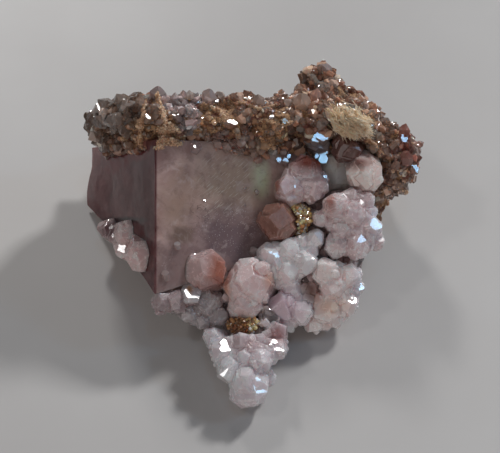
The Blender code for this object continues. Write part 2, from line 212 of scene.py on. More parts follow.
# Crystals with a facet that mirrors a light to the camera: node, row, light and the facet's reach in radii.
GLINTS = (
    ("quartz_cluster_tip", 1, "window_right", 0.80),
    ("quartz_point_foot", 0, "window_right", 0.62),
    ("quartz_cluster_left", 3, "lamp_left", 0.80),
    ("quartz_cluster_left", 4, "lamp_left", 0.85),
    ("quartz_cluster_tip", 2, "lamp_left", 0.97),
    ("quartz_cluster_centre", 4, "window_right", 0.98),
    ("quartz_cluster_right", 5, "sky_right", 0.80),
    ("quartz_cluster_tip", 4, "window_right", 0.98),
    ("quartz_cluster_tip", 5, "window_back", 0.92),
    ("quartz_cluster_right", 4, "sky_right", 0.88),
    ("quartz_cluster_upper", 3, "sky_right", 0.80),
    ("quartz_cluster_centre", 0, "sky_right", 0.95),
    ("quartz_cluster_lower_right", 7, "sky_right", 0.85),
)
# Broad facets that crystals have besides their own: least and most tilt from the viewer, in degrees, and least
# and most reach, in radii.
BROAD = ((8.0, 24.0, 0.62, 0.80), (28.0, 46.0, 0.70, 0.88), (28.0, 50.0, 0.74, 0.94))
BROAD_TURN = (1.7, 2.6)  # from one to the next, in radians
BROAD_JITTER = 0.07

# Lights: the direction they come from, their distance and width in metres, their power and colour.
LIGHTS = {
    "window_right": ((0.515, 0.570, 0.606), 1.30, 0.16, 9.0, (0.985, 0.985, 0.985)),
    "window_back": ((-0.207, 0.829, 0.60), 1.30, 0.16, 4.0, (1.0, 0.985, 0.97)),
    "sky_right": ((0.80, 0.07, 0.60), 0.60, 0.07, 0.24, (0.38, 0.68, 1.0)),
    "sky_high": ((0.10, -0.136, 0.986), 0.60, 0.04, 0.085, (0.36, 0.67, 1.0)),
    "lamp_left": ((-0.55, -0.08, 0.83), 0.80, 0.08, 0.40, (1.0, 0.99, 0.98)),
    "room_front": ((-0.12, -0.93, 0.34), 0.80, 0.90, 1.9, (1.0, 0.925, 0.895)),
}
FILL = 0.10  # strength and colour of the room's even light
FILL_COLOUR = (1.0, 0.93, 0.90, 1.0)
FLOOR_HALF = 0.8  # metres


# ---------------------------------------------------------------- small helpers
def plain_object(name, mesh):
    thing = bpy.data.objects.new(name, mesh)
    bpy.context.scene.collection.objects.link(thing)
    return thing


def add_piece(name, mesh, finish, slot, *nodes):
    """A finished piece whose mesh is in u, v and w, in metres. It stands for the CAD nodes named."""
    mesh.transform(FACE)
    corners = np.empty(len(mesh.vertices) * 3, np.float32)
    mesh.vertices.foreach_get("co", corners)
    corners[2::3] = np.maximum(corners[2::3], 0.0)
    mesh.vertices.foreach_set("co", corners)
    mesh.update()
    piece = plain_object(name, mesh)
    mesh.materials.clear()
    mesh.materials.append(finish)
    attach(piece, "root")
    if nodes:
        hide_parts(*nodes)
    return piece


def columns(rows):
    """The rows' first values, second values and so on."""
    return (list(column) for column in zip(*rows))


def discard(thing):
    bpy.data.objects.remove(thing, do_unlink=True)


def apply_modifiers(thing):
    bpy.context.view_layer.update()
    graph = bpy.context.evaluated_depsgraph_get()
    thing.data = bpy.data.meshes.new_from_object(thing.evaluated_get(graph))
    thing.modifiers.clear()


def combine(target, others, operation):
    """Join others to the target, or cut them out of it, and drop them."""
    for other in others:
        step = target.modifiers.new(operation.title(), "BOOLEAN")
        step.operation = operation
        step.solver = "MANIFOLD"
        step.object = other
    apply_modifiers(target)
    for other in others:
        discard(other)


def mesh_from(shape, name):
    mesh = bpy.data.meshes.new(name)
    shape.to_mesh(mesh)
    shape.free()
    return mesh


def mesh_from_arrays(name, points, faces):
    """A mesh of triangles from arrays of points, in metres, and of corner numbers."""
    mesh = bpy.data.meshes.new(name)
    mesh.vertices.add(len(points))
    mesh.vertices.foreach_set("co", np.asarray(points, np.float32).ravel())
    mesh.loops.add(len(faces) * 3)
    mesh.loops.foreach_set("vertex_index", np.asarray(faces, np.int32).ravel())
    mesh.polygons.add(len(faces))
    mesh.polygons.foreach_set("loop_start", np.arange(0, len(faces) * 3, 3, dtype=np.int32))
    mesh.update(calc_edges=True)
    mesh.validate()
    mesh.shade_flat()
    return mesh


# ---------------------------------------------------------------- solids bounded by planes
def hull_from_planes(normals, distances):
    """The corners of the solid that lies within distance of the origin along each normal."""
    normals = np.array(normals, float)
    distances = np.array(distances, float)
    picks = np.array(list(combinations(range(len(normals)), 3)))
    triples = normals[picks]
    crossing = np.abs(np.linalg.det(triples)) > 1e-6
    picks = picks[crossing]
    corners = np.linalg.solve(normals[picks], distances[picks][..., None])[..., 0]
    inside = (corners @ normals.T <= distances + 1e-6).all(axis=1)
    return corners[inside]


def hull_shape(corners, bevel):
    """A closed bmesh of flat faces around corners in millimetres, with its edges taken off."""
    shape = bmesh.new()
    for corner in corners:
        shape.verts.new(Vector(corner) * MM)
    bmesh.ops.remove_doubles(shape, verts=shape.verts, dist=0.06 * MM)
    bmesh.ops.convex_hull(shape, input=shape.verts)
    loose = [vert for vert in shape.verts if not vert.link_faces]
    bmesh.ops.delete(shape, geom=loose, context="VERTS")
    bmesh.ops.dissolve_limit(shape, angle_limit=math.radians(1.0), verts=shape.verts, edges=shape.edges)
    bmesh.ops.recalc_face_normals(shape, faces=shape.faces)
    if bevel:
        bmesh.ops.bevel(
            shape,
            geom=shape.edges[:] + shape.verts[:],
            offset=bevel * MM,
            segments=2,
            profile=0.5,
            affect="EDGES",
            clamp_overlap=True,
        )
    return shape


# ---------------------------------------------------------------- quartz
def crystal_planes(radius, root, dice):
    """A quartz crystal's six sides, six end faces and broken root, as normals and distances."""
    normals = []
    distances = []
    along = Vector((0.0, 0.0, 1.0))
    for side in range(6):
        turn = math.tau * side / 6
        flat = Vector((math.cos(turn), math.sin(turn), 0.0))
        normals.append(flat)
        distances.append(radius * dice.uniform(*SIDE_REACH))
        normals.append(flat * math.sin(RHOMB) + along * math.cos(RHOMB))
        distances.append(radius * dice.uniform(*(MINOR_END_REACH if side % 2 else MAJOR_END_REACH)))
    normals.append(-along)
    distances.append(radius * root)
    return normals, distances


def sideways(toward, reach, rise):
    return Vector((reach * math.cos(toward), reach * math.sin(toward), rise))


def crystal_frames(row, seed, calm):
    """The main crystal and its twins, as in the CAD, then its growth steps and buds."""
    u, v, w, radius, toward, lean, root = row
    dice = random.Random(seed)
    aim = Matrix.Rotation(math.radians(toward), 4, "Z") @ Matrix.Rotation(math.radians(lean), 4, "Y")
    place = Matrix.Translation((u, v, w)) @ aim
    main = place @ Matrix.Rotation(dice.uniform(0.0, 1.0), 4, "Z")
    frames = [(main, radius, crystal_planes(radius, root, dice))]
    if radius >= TWIN_RADIUS:
        start = dice.uniform(0.0, math.tau)
        for twin in range(TWINS):
            side = start + TWIN_STEP * twin
            small = radius * dice.uniform(*TWIN_SIZE)
            rise = dice.uniform(*TWIN_RISE)
            shift = sideways(side, TWIN_SHIFT, TWIN_SHIFT * rise)
            tip = Matrix.Rotation(dice.uniform(-TWIN_TILT, TWIN_TILT), 4, "X")
            spin = Matrix.Rotation(dice.uniform(0.0, 1.0), 4, "Z")
            frame_of_twin = place @ Matrix.Translation(shift * radius) @ tip @ spin
            frames.append((frame_of_twin, small, crystal_planes(small, root, dice)))
    growing = list(frames)
    for base, size, _ in growing:
        for _ in range(1 if calm else STEPS):
            turn = dice.uniform(0.0, math.tau)
            shift = sideways(turn, dice.uniform(*STEP_SHIFT), dice.uniform(*STEP_RISE)) * size
            small = size * dice.uniform(*STEP_SIZE)
            frames.append((base @ Matrix.Translation(shift), small, crystal_planes(small, root, dice)))
    for _ in range(0 if calm else BUDS):
        turn = dice.uniform(0.0, math.tau)
        shift = sideways(turn, dice.uniform(*BUD_SHIFT), dice.uniform(*BUD_RISE)) * radius
        tip = Matrix.Rotation(dice.uniform(-BUD_TILT, BUD_TILT), 4, "X")
        spin = Matrix.Rotation(dice.uniform(0.0, 1.0), 4, "Z")
        small = radius * dice.uniform(*BUD_SIZE)
        bud = main @ Matrix.Translation(shift) @ tip @ spin
        frames.append((bud, small, crystal_planes(small, root, dice)))
    return frames


def bridges(rows):
    """Rows for the smaller, sunken crystals that grow between close neighbours."""
    between = []
    for one, other in combinations(rows, 2):
        gap = (Vector(one[:3]) - Vector(other[:3])).length
        if gap > BRIDGE_REACH * (one[3] + other[3]):
            continue
        size = BRIDGE_SIZE * min(one[3], other[3])
        u, v, w = (Vector(one[:3]) + Vector(other[:3])) / 2
        between.append((u, v, w - BRIDGE_SINK * size, size, one[4], one[5] * BRIDGE_LEAN, one[6]))
    return between


def mirror_normal(at, light):
    """The normal of a facet at that place which shows the camera a light, in u, v and w."""
    toward, reach = LIGHTS[light][:2]
    lamp = (TO_FACE @ (Vector(toward).normalized() * reach)) / MM
    return ((EYE - at).normalized() + (lamp - at).normalized()).normalized()


def way_from_eye(u, v):
    """The direction in which the camera sees the point (u, v) of the display face's plane."""
    return (Vector((u, v, 0.0)) - EYE).normalized()


def broad_facets(dice):
    """Directions of a crystal's broad facets, spread about the way to the viewer, and their reaches."""
    toward = dice.uniform(0.0, math.tau)
    facets = []
    for least, most, low, high in BROAD:
        lean = math.radians(dice.uniform(least, most))
        facets.append((sideways(toward, math.sin(lean), math.cos(lean)), low, high))
        toward += dice.uniform(*BROAD_TURN)
    return facets


def crystal_piece(name, rows, seed, room):
    """One closed solid of all the crystals in rows, clear of the fluorite's room."""
    facets = {row: (light, reach) for cluster, row, light, reach in GLINTS if cluster == name}
    dice = random.Random(seed)
    parts = []
    for number, row in enumerate(list(rows) + bridges(rows)):
        centre = Vector(row[:3])
        light, reach = facets.get(number, (None, 0.0))
        broad = broad_facets(dice)
        for where, size, (normals, distances) in crystal_frames(row, seed * ROW_SEEDS + number, name in CALM):
            for facing, low, high in broad[1:] if light else broad:
                jitter = Vector([dice.uniform(-BROAD_JITTER, BROAD_JITTER) for _ in range(3)])
                normals.append(where.to_3x3().inverted() @ (facing + jitter).normalized())
                distances.append(size * dice.uniform(low, high))
            if light:
                normal = mirror_normal(centre, light)
                offset = (centre + normal * reach * row[3] - where.translation).dot(normal)
                normals.append(where.to_3x3().inverted() @ normal)
                distances.append(offset)
            corners = [where @ Vector(corner) for corner in hull_from_planes(normals, distances)]
            if len(corners) < 6:
                continue
            parts.append(plain_object("part", mesh_from(hull_shape(corners, BEVEL), "part")))
    solid = parts[0]
    combine(solid, parts[1:], "UNION")
    copy = plain_object("room", room)
    combine(solid, [copy], "DIFFERENCE")
    mesh = solid.data
    discard(solid)
    mesh.name = name
    return mesh


# ---------------------------------------------------------------- fluorite
def cube_planes():
    """The turned cube's faces, its climbing underside and its back, through the front edge's top end."""
    edge = Vector((CUBE_EDGE_U, 0.0, 0.0))
    under = Vector((0.0, -1.0, -CUBE_UNDERCUT)).normalized()
    faces = (
        (ACROSS, ACROSS.dot(edge)),
        (ASIDE, ASIDE.dot(edge)),
        (-ACROSS, CUBE_SIDE - ACROSS.dot(edge)),
        (-ASIDE, CUBE_FRONT - ASIDE.dot(edge)),
        (Vector((0.0, 1.0, 0.0)), CUBE_TOP),
        (under, under.dot(Vector((0.0, CUBE_FOOT, 0.0)))),
        (Vector((0.0, 0.0, -1.0)), -CUBE_BACK),
    )
    return [normal for normal, _ in faces], [reach for _, reach in faces]


def cube_room(grow):
    """The cube's space, with a gap around it."""
    normals, distances = cube_planes()
    corners = hull_from_planes(normals, [reach + grow for reach in distances])
    return mesh_from(hull_shape(corners, 0.0), "room")


def in_between(value, ends, soft=1.0):
    """1 between two ends, falling to 0 past them."""
    low, high = ends
    return min(max(min(value - low, high - value) / soft + 1.0, 0.0), 1.0)


def fluorite_mesh():
    """The cube, sliced into a grid so that its faces can wander a little."""
    normals, distances = cube_planes()
    distances[4] += HIDDEN_TOP
    shape = hull_shape(hull_from_planes(normals, distances), CUBE_BEVEL)
    for axis, low, high in ((0, -33, 19), (1, 18, 48), (2, -29, 1)):
        normal = Matrix.Identity(3)[axis]
        for step in np.arange(low, high, SLICE):
            everything = shape.verts[:] + shape.edges[:] + shape.faces[:]
            cut = normal * float(step) * MM
            bmesh.ops.bisect_plane(shape, geom=everything, plane_co=cut, plane_no=normal)
    for vert in shape.verts:
        place = vert.co / MM
        move = noise.noise_vector(place * BROAD_WAVES) * BROAD_WANDER
        move += noise.noise_vector(place * FINE_WAVES) * FINE_WANDER
        round_part = max(0.0, 1.0 - ((place.y - BULGE_V) / BULGE_HALF) ** 2)
        move.x -= BULGE * round_part * min(max((BULGE_FROM - place.x) / BULGE_WIDTH, 0.0), 1.0)
        if normals[0].dot(place) > distances[0] - 0.1:
            move += normals[0] * NOSE_HEIGHT * in_between(place.x, NOSE[0]) * in_between(place.y, NOSE[1])
        vert.co += move * MM
    bmesh.ops.triangulate(shape, faces=shape.faces)
    return mesh_from(shape, "fluorite_cube")


# ---------------------------------------------------------------- material helpers
class Finish:
    """A node material under construction, whose coordinates are u, v and w in millimetres."""

    def __init__(self, name):
        self.material = bpy.data.materials.new(name)
        self.material.use_nodes = True
        self.nodes = self.material.node_tree.nodes
        self.links = self.material.node_tree.links
        self.shader = self.nodes["Principled BSDF"]
        turn = {
            "Vector": self.add("TexCoord", {}, "Object"),
            "Location": TO_FACE.to_translation() / MM,
            "Rotation": TO_FACE.to_euler(),
            "Scale": (1.0 / MM, 1.0 / MM, 1.0 / MM),
        }
        self.place = self.add("Mapping", turn)

    def add(self, kind, inputs, out=0, **options):
        """One output of a new node, whose inputs, by name or number, are set or joined to other outputs."""
        node = self.nodes.new("ShaderNode" + kind)
        for name, value in options.items():
            setattr(node, name, value)
        for name, value in inputs.items():
            if isinstance(value, bpy.types.NodeSocket):
                self.links.new(value, node.inputs[name])
            else:
                node.inputs[name].default_value = value
        return node.outputs[out]

    def set(self, **values):
        for name, value in values.items():
            self.shader.inputs[name.replace("_", " ")].default_value = value

    def join(self, value, name):
        self.links.new(value, self.shader.inputs[name])

    def noise(self, scale, detail=4.0, roughness=0.55, distortion=0.0, place=None):
        inputs = {"Scale": scale, "Detail": detail, "Roughness": roughness, "Distortion": distortion}
        return self.add("TexNoise", {"Vector": place or self.place, **inputs}, "Fac")

    def stretched(self, scales, turn=(0.0, 0.0, 0.0)):
        """The coordinates turned, then scaled along each axis."""
        inputs = {"Vector": self.place, "Rotation": turn, "Scale": tuple(1.0 / scale for scale in scales)}
        return self.add("Mapping", inputs, vector_type="TEXTURE")

    def cells(self, scale):
        return self.add("TexVoronoi", {"Vector": self.place, "Scale": scale}, "Distance")

    def span(self, value, low, high, to_low=0.0, to_high=1.0):
        inputs = {"Value": value, "From Min": low, "From Max": high, "To Min": to_low, "To Max": to_high}
        return self.add("MapRange", inputs)

    def math(self, operation, *values):
        return self.add("Math", dict(enumerate(values)), operation=operation)

    def vector(self, operation, *values, out=0):
        return self.add("VectorMath", dict(enumerate(values)), out, operation=operation)

    def product(self, one, other):
        return self.math("MULTIPLY", one, other)

    def blend(self, amount, one, other):
        """One colour turning to another by an amount; each is an output or three numbers."""
        one, other = ((*colour, 1.0) if isinstance(colour, tuple) else colour for colour in (one, other))
        return self.add("Mix", {"Factor": amount, 6: one, 7: other}, 2, data_type="RGBA")

    def zone(self, centre, stretch, soft=0.6, ragged=0.35):
        """1 in an ellipsoid about centre, whose half sizes are stretch, and 0 outside it."""
        shift = self.vector("SUBTRACT", self.place, centre)
        reach = self.vector("LENGTH", self.vector("DIVIDE", shift, stretch), out="Value")
        wander = self.span(self.noise(0.35, 3.0), 0.2, 0.8, -ragged, ragged)
        return self.span(self.math("ADD", reach, wander), 1.0 + soft / 2, 1.0 - soft / 2)

    def zones(self, rows, colour):
        """A colour with zones of other colours laid over it."""
        for centre, stretch, soft, ragged, other in rows:
            colour = self.blend(self.zone(centre, stretch, soft, ragged), colour, other)
        return colour

    def facets(self):
        """A value that changes from one flat face to the next, and slowly with the place."""
        normal = self.add("NewGeometry", {}, "True Normal")
        scaled = self.add("VectorMath", {0: normal, "Scale": 2.2}, operation="SCALE")
        return self.noise(1.0, 1.0, place=self.vector("ADD", scaled, self.stretched((0.07, 0.07, 0.07))))

    def beyond(self, normal, reach):
        """How far a place is outside the plane at reach along normal, in millimetres."""
        return self.math("SUBTRACT", self.vector("DOT_PRODUCT", self.place, normal, out="Value"), reach)

    def bump(self, height, strength, distance):
        inputs = {"Height": height, "Strength": strength, "Distance": distance * MM}
        self.join(self.add("Bump", inputs), "Normal")

    def absorb(self, colour, density):
        """Even absorption within, in the colour that is left after a metre over density."""
        volume = self.add("VolumeAbsorption", {"Color": (*colour, 1.0), "Density": density})
        self.links.new(volume, self.nodes["Material Output"].inputs["Volume"])


# ---------------------------------------------------------------- materials
QUARTZ_IOR = 1.55
FLUORITE_IOR = 1.43
FLUORITE_ABSORPTION = (0.7, 0.6, 0.64)
FLUORITE_DENSITY = 25.0


def quartz_finish(name, deep, pale, transmission, stains_and_painted_light):
    """Cloudy quartz: clearer and hazier faces and patches, faint growth lines, stained zones, and zones of
    painted shade and painted light.
    """
    made = Finish(name)
    tone = made.product(made.span(made.facets(), 0.36, 0.64), 0.55)
    haze = made.product(made.span(made.noise(0.8, 6.0, 0.65), 0.36, 0.64), 0.45)
    colour = made.blend(made.math("ADD", tone, haze), deep, pale)
    veins = made.span(made.noise(0.7, 5.0, 0.6, 1.5), 0.49, 0.515)
    veins = made.product(veins, made.span(made.noise(0.5, 2.0), 0.5, 0.6))
    palest = tuple(min(part * 1.15, 0.95) for part in pale)
    colour = made.blend(made.product(veins, 0.5), colour, palest)
    for centre, stretch, zone_colour in stains_and_painted_light:
        colour = made.blend(made.zone(centre, stretch, 1.2, 0.3), colour, zone_colour)
    made.join(colour, "Base Color")
    made.join(made.span(made.noise(0.8, 4.0), 0.35, 0.65, 0.12, 0.34), "Roughness")
    made.set(IOR=QUARTZ_IOR, Transmission_Weight=transmission)
    made.set(Subsurface_Weight=1.0, Subsurface_Scale=1.5 * MM, Subsurface_Radius=(1.1, 0.95, 0.95))
    made.set(Coat_Weight=0.7, Coat_Roughness=0.03, Coat_IOR=QUARTZ_IOR)
    lines = made.noise(1.0, 3.0, 0.5, 0.0, made.stretched((0.15, 3.2, 0.15)))
    relief = made.math("ADD", made.noise(1.4, 5.0, 0.55), made.product(lines, 0.5))
    made.bump(relief, 0.16, 0.12)
    return made.material


# Zones of colour in the fluorite, and stains on its left side: middle, half sizes, softness and raggedness of
# the edge, and colour.
FLUORITE_DARK = (0.06, 0.035, 0.04)
FLUORITE_RED = (0.21, 0.028, 0.036)
FLUORITE_ZONES = (
    ((-2.5, 41.0, -7.0), (8.5, 5.5, 9.0), 1.2, 0.35, (0.72, 0.56, 0.47)),
    ((-13.4, 36.6, -2.0), (3.4, 4.6, 4.0), 1.4, 0.35, (0.63, 0.455, 0.385)),
    ((2.0, 42.0, -10.0), (1.6, 3.0, 3.0), 1.2, 0.35, (0.84, 0.88, 0.66)),
    # Painted light: a near-white zone that lifts the far corner, which lies in shade in a deep hollow.
    ((16.5, 43.0, -17.0), (4.5, 5.0, 7.0), 0.6, 0.35, (1.0, 0.98, 0.90)),
    ((-3.0, 31.0, -6.0), (8.5, 5.0, 7.0), 1.0, 0.35, (0.34, 0.245, 0.26)),
    ((-14.2, 26.2, -1.5), (3.8, 4.8, 4.0), 1.0, 0.6, (0.46, 0.33, 0.32)),
    ((-12.6, 31.6, -2.4), (2.6, 1.7, 2.4), 1.0, 0.8, (0.38, 0.27, 0.23)),
)
FLUORITE_STAINS = (
    ((-26.0, 45.4, -16.0), (3.2, 1.9, 6.0), 1.0, 0.9, FLUORITE_RED),
    ((-21.4, 46.2, -8.4), (2.6, 1.1, 5.0), 1.0, 0.9, FLUORITE_RED),
    ((-19.3, 31.0, -4.4), (2.2, 8.5, 4.6), 0.8, 0.6, (0.11, 0.02, 0.025)),
    ((-24.0, 34.2, -13.0), (5.5, 0.6, 14.0), 0.9, 0.15, FLUORITE_DARK),
)


def fluorite_finish():
    """Cloudy fluorite: tan, green and grey zones, needles, veils, specks and red stains by the crust, with
    painted shade on the left side and painted light in the far corner.
    """
    made = Finish("fluorite")
    cloud = made.noise(0.2, 6.0, 0.62, 0.8)
    colour = made.blend(made.span(cloud, 0.36, 0.64), (0.57, 0.39, 0.37), (0.94, 0.72, 0.67))
    colour = made.zones(FLUORITE_ZONES, colour)
    mottle = made.span(made.noise(0.6, 7.0, 0.7, 0.4), 0.52, 0.66)
    colour = made.blend(made.product(mottle, 0.4), colour, (0.30, 0.20, 0.19))
    needles = made.noise(1.0, 2.0, 0.5, 0.0, made.stretched((0.5, 5.5, 0.5), (0.0, 0.0, 0.75)))
    needle_zone = made.zone((-4.5, 41.0, -6.0), (5.5, 5.5, 9.0), 0.8)
    needles = made.product(made.span(needles, 0.60, 0.67), needle_zone)
    colour = made.blend(needles, colour, (0.98, 0.88, 0.78))
    specks = made.span(made.cells(2.6), 0.22, 0.12)
    lace = made.zone((-2.5, 32.5, -6.0), (7.5, 4.5, 8.0), 0.9, 0.5)
    colour = made.blend(made.product(specks, lace), colour, (0.88, 0.82, 0.84))
    veils = made.span(made.noise(0.45, 7.0, 0.66, 0.8), 0.52, 0.60)
    veils = made.product(veils, made.span(made.noise(0.25, 2.0), 0.48, 0.60))
    colour = made.blend(made.product(veils, 0.4), colour, (0.92, 0.80, 0.78))
    cracks = made.math("ABSOLUTE", made.math("SUBTRACT", made.noise(0.3, 4.0, 0.6, 0.6), 0.5))
    cracks = made.span(cracks, 0.009, 0.003)
    near = made.zone((-9.6, 35.2, -3.6), (2.6, 3.2, 2.6), 0.8)
    colour = made.blend(made.product(made.product(cracks, near), 0.6), colour, FLUORITE_DARK)
    # The left side gets a darker copy of the fluorite's colour: painted shade for the side turned away from
    # the lights.
    side = made.span(made.beyond(ASIDE, CUBE_SIDE_REACH), -0.5, -0.12)
    shaded_side_colour = made.blend(made.span(cloud, 0.34, 0.66), (0.145, 0.052, 0.058), (0.28, 0.125, 0.13))
    colour = made.blend(side, colour, shaded_side_colour)
    # Painted shade: a deeper dark zone high on the left side, under the crust.
    shade = made.zone((-19.5, 42.5, -5.0), (3.4, 6.0, 6.5), 1.4, 0.5)
    colour = made.blend(made.product(shade, side), colour, (0.13, 0.036, 0.042))
    made.join(made.zones(FLUORITE_STAINS, colour), "Base Color")
    made.join(made.span(made.noise(0.7, 5.0), 0.35, 0.75, 0.05, 0.24), "Roughness")
    made.set(IOR=FLUORITE_IOR, Transmission_Weight=0.35)
    made.set(Subsurface_Weight=1.0, Subsurface_Scale=1.0 * MM, Subsurface_Radius=(2.2, 2.0, 2.0))
    made.absorb(FLUORITE_ABSORPTION, FLUORITE_DENSITY)
    made.bump(made.noise(0.9, 6.0, 0.6), 0.1, 0.1)
    return made.material


def rock_finish():
    """Golden and dark brown limonite, red in places, and grey-pink quartz matrix below the crust."""
    made = Finish("limonite")
    grain = made.noise(1.6, 8.0, 0.75)
    brown = made.blend(made.span(grain, 0.38, 0.62), (0.050, 0.020, 0.012), (0.72, 0.42, 0.22))
    rust = made.blend(made.span(made.noise(0.28, 4.0), 0.52, 0.6), brown, (0.20, 0.065, 0.045))
    quartz = made.blend(made.span(grain, 0.35, 0.65), (0.20, 0.13, 0.13), (0.42, 0.33, 0.33))
    matrix = made.zone((6.0, 24.0, -14.0), (22.0, 17.0, 18.0), 0.3)
    made.join(made.blend(matrix, rust, quartz), "Base Color")
    made.join(made.span(made.noise(4.0, 3.0), 0.4, 0.7, 0.65, 0.3), "Roughness")
    made.bump(made.noise(3.0, 8.0, 0.7), 0.9, 0.3)
    return made.material


def tinted_finish(name, haze, share, transmission, roughness, relief=0.06):
    """Small bodies with a tint of their own, clouded with haze in patches."""
    made = Finish(name)
    tint = made.add("Attribute", {}, "Color", attribute_name="tint")
    cloud = made.span(made.noise(1.1, 4.0), 0.35, 0.65, 0.0, share)
    made.join(made.blend(cloud, tint, haze), "Base Color")
    made.join(made.span(made.noise(1.7, 3.0), 0.35, 0.65, *roughness), "Roughness")
    made.set(IOR=QUARTZ_IOR, Transmission_Weight=transmission)
    made.set(Subsurface_Weight=0.6, Subsurface_Scale=1.0 * MM, Subsurface_Radius=(0.5, 0.45, 0.42))
    made.bump(made.noise(2.5, 4.0), 0.3, relief)
    return made.material


def grit_finish(name, dark, light):
    made = Finish(name)
    made.join(made.blend(made.span(made.noise(1.6, 5.0), 0.35, 0.65), dark, light), "Base Color")
    made.join(made.span(made.noise(2.4, 3.0), 0.3, 0.7, 0.4, 0.7), "Roughness")
    made.bump(made.noise(5.0, 5.0), 0.5, 0.1)
    return made.material


def floor_finish():
    made = Finish("table")
    patches = made.span(made.noise(20.0 * MM, 4.0), 0.3, 0.7)
    made.join(made.blend(patches, (0.50, 0.485, 0.475), (0.54, 0.53, 0.52)), "Base Color")
    made.join(made.span(made.noise(30.0 * MM, 3.0), 0.3, 0.7, 0.42, 0.46), "Roughness")
    made.bump(made.noise(1.5, 4.0), 0.03, 0.2)
    return made.material


# ---------------------------------------------------------------- rock and its druse
ROCK_CELL = 0.42
WELD = 0.002  # CAD corners nearer than this are one
THIN_SHARE = 0.4  # of a thin wall, which each side may wear in
LEAST_WEAR = 0.05
LUMP_CELL = 0.24
BACK = -22.0  # behind this w the rock is broken matrix
SWELL = 5.5  # the rock's relief, coarse to fine, by how wide each is
COBBLE = 2.9
GRIT = 0.9
ROCK_LEAST_WEAR = 0.1  # how far the skin is worn in everywhere, and by each size of relief
SWELL_WEAR = 1.8
COBBLE_WEAR = 1.9
GRIT_WEAR = 0.5
MOST_WEAR = 4.6
BASE_RISE = 1.5  # the height above the table over which the wear sets in

# Hollows in the front of the crust: u, v, radius and depth.
PITS = (
    (-25.2, 49.6, 2.6, 3.4),
    (-17.6, 51.4, 1.2, 3.0),
    (-21.2, 53.2, 1.3, 2.2),
    (-9.4, 51.6, 1.3, 2.4),
    (-9.0, 53.6, 1.2, 1.8),
    (-5.4, 50.4, 1.1, 1.8),
    (1.0, 49.6, 1.4, 1.8),
    (5.8, 52.6, 1.2, 2.0),
    (8.8, 50.4, 1.2, 1.8),
    (21.6, 55.4, 1.6, 2.4),
    (29.6, 44.8, 1.4, 2.0),
    (19.4, 48.6, 2.6, 2.4),
    (23.2, 38.2, 1.8, 2.0),
    (8.6, 47.6, 2.0, 1.4),
)
# The rock is open in front of the fluorite here, by lowest and highest u and v: at its far corner, and at a
# notch in the crust's foot.
WINDOWS = (((12.6, 18.6), (39.6, 46.4)), ((-12.8, -6.4), (46.5, 48.5)))
LEFT_FOOT = ((-34.0, -13.6), (42.0, 46.9))  # no rock here, to the left of the fluorite and down to LEFT_DEPTH
LEFT_DEPTH = -24.0
CUTTER_TOP = 9.0
CUTTER_SINK = 0.7  # how far behind the fluorite's front side a window's floor is


def window_cutter(window):
    """A solid in front of the fluorite, down to just behind its front side or, at the left, to LEFT_DEPTH."""
    normals = [Vector(axis) for axis in ((1, 0, 0), (-1, 0, 0), (0, 1, 0), (0, -1, 0), (0, 0, 1))] + [-ACROSS]
    (left, right), (low, high) = window
    distances = [right, -left, high, -low, CUTTER_TOP, -ACROSS.x * CUBE_EDGE_U + CUTTER_SINK]
    if window is LEFT_FOOT:
        normals[-1] = Vector((0, 0, -1))
        distances[-1] = -LEFT_DEPTH
    corners = hull_from_planes(normals, distances)
    return plain_object("cutter", mesh_from(hull_shape(corners, 0.0), "cutter"))


def worn_copy(node, cell, depth_at, cutters=()):
    """A copy of a CAD node in u, v and w, less cutters, as small cells moved in by the depth for their place.

    Depths are in millimetres, and each side of a thin wall wears in by a share of it at most.
    """
    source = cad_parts[node].data.copy()
    source.transform(TO_FACE)
    shape = bmesh.new()
    shape.from_mesh(source)
    bmesh.ops.remove_doubles(shape, verts=shape.verts, dist=WELD * MM)
    solid = plain_object("skin", mesh_from(shape, "skin"))
    if cutters:
        combine(solid, cutters, "DIFFERENCE")
    skin = solid.modifiers.new("Skin", "REMESH")
    skin.mode = "VOXEL"
    skin.voxel_size = cell * MM
    apply_modifiers(solid)
    shape = bmesh.new()
    shape.from_mesh(solid.data)
    discard(solid)
    shape.normal_update()
    tree = BVHTree.FromBMesh(shape)
    moves = []
    for vert in shape.verts:
        through = tree.ray_cast(vert.co - vert.normal * 0.05 * MM, -vert.normal)[3]
        moves.append(min(depth_at(vert.co / MM) * MM, (through or 0.0) * THIN_SHARE))
    for vert, move in zip(shape.verts, moves):
        vert.co -= vert.normal * move
    bmesh.ops.triangulate(shape, faces=shape.faces)
    return mesh_from(shape, node)


def rock_depth(place):
    """How far the rock's skin is worn in: swells, cobbles and grit, none of it where the rock stands."""
    swell = 0.5 + 0.5 * noise.noise(place / SWELL)
    cobble = noise.voronoi(place / COBBLE)[0][0]
    grit = noise.fractal(place / GRIT, 0.8, 2.1, 4)
    depth = ROCK_LEAST_WEAR + SWELL_WEAR * swell**1.5 + COBBLE_WEAR * cobble**1.5 + GRIT_WEAR * grit
    if place.z > BACK / 2:
        for u, v, radius, pit in PITS:
            depth += pit * math.exp(-((place.x - u) ** 2 + (place.y - v) ** 2) / radius**2)
    if all(normal.dot(place) < reach + 0.6 for normal, reach in zip(*cube_planes())):
        return 0.0
    height = (FACE @ (place * MM)).z / MM
    return min(max(depth, LEAST_WEAR), MOST_WEAR) * min(max(height, 0.0) / BASE_RISE, 1.0)


def hull_arrays(shape):
    """Points in millimetres and triangles of a small closed bmesh, which is used up."""
    bmesh.ops.triangulate(shape, faces=shape.faces)
    shape.verts.ensure_lookup_table()
    shape.verts.index_update()
    points = np.array([vert.co for vert in shape.verts]) / MM
    faces = np.array([[vert.index for vert in face.verts] for face in shape.faces])
    shape.free()
    return points, faces


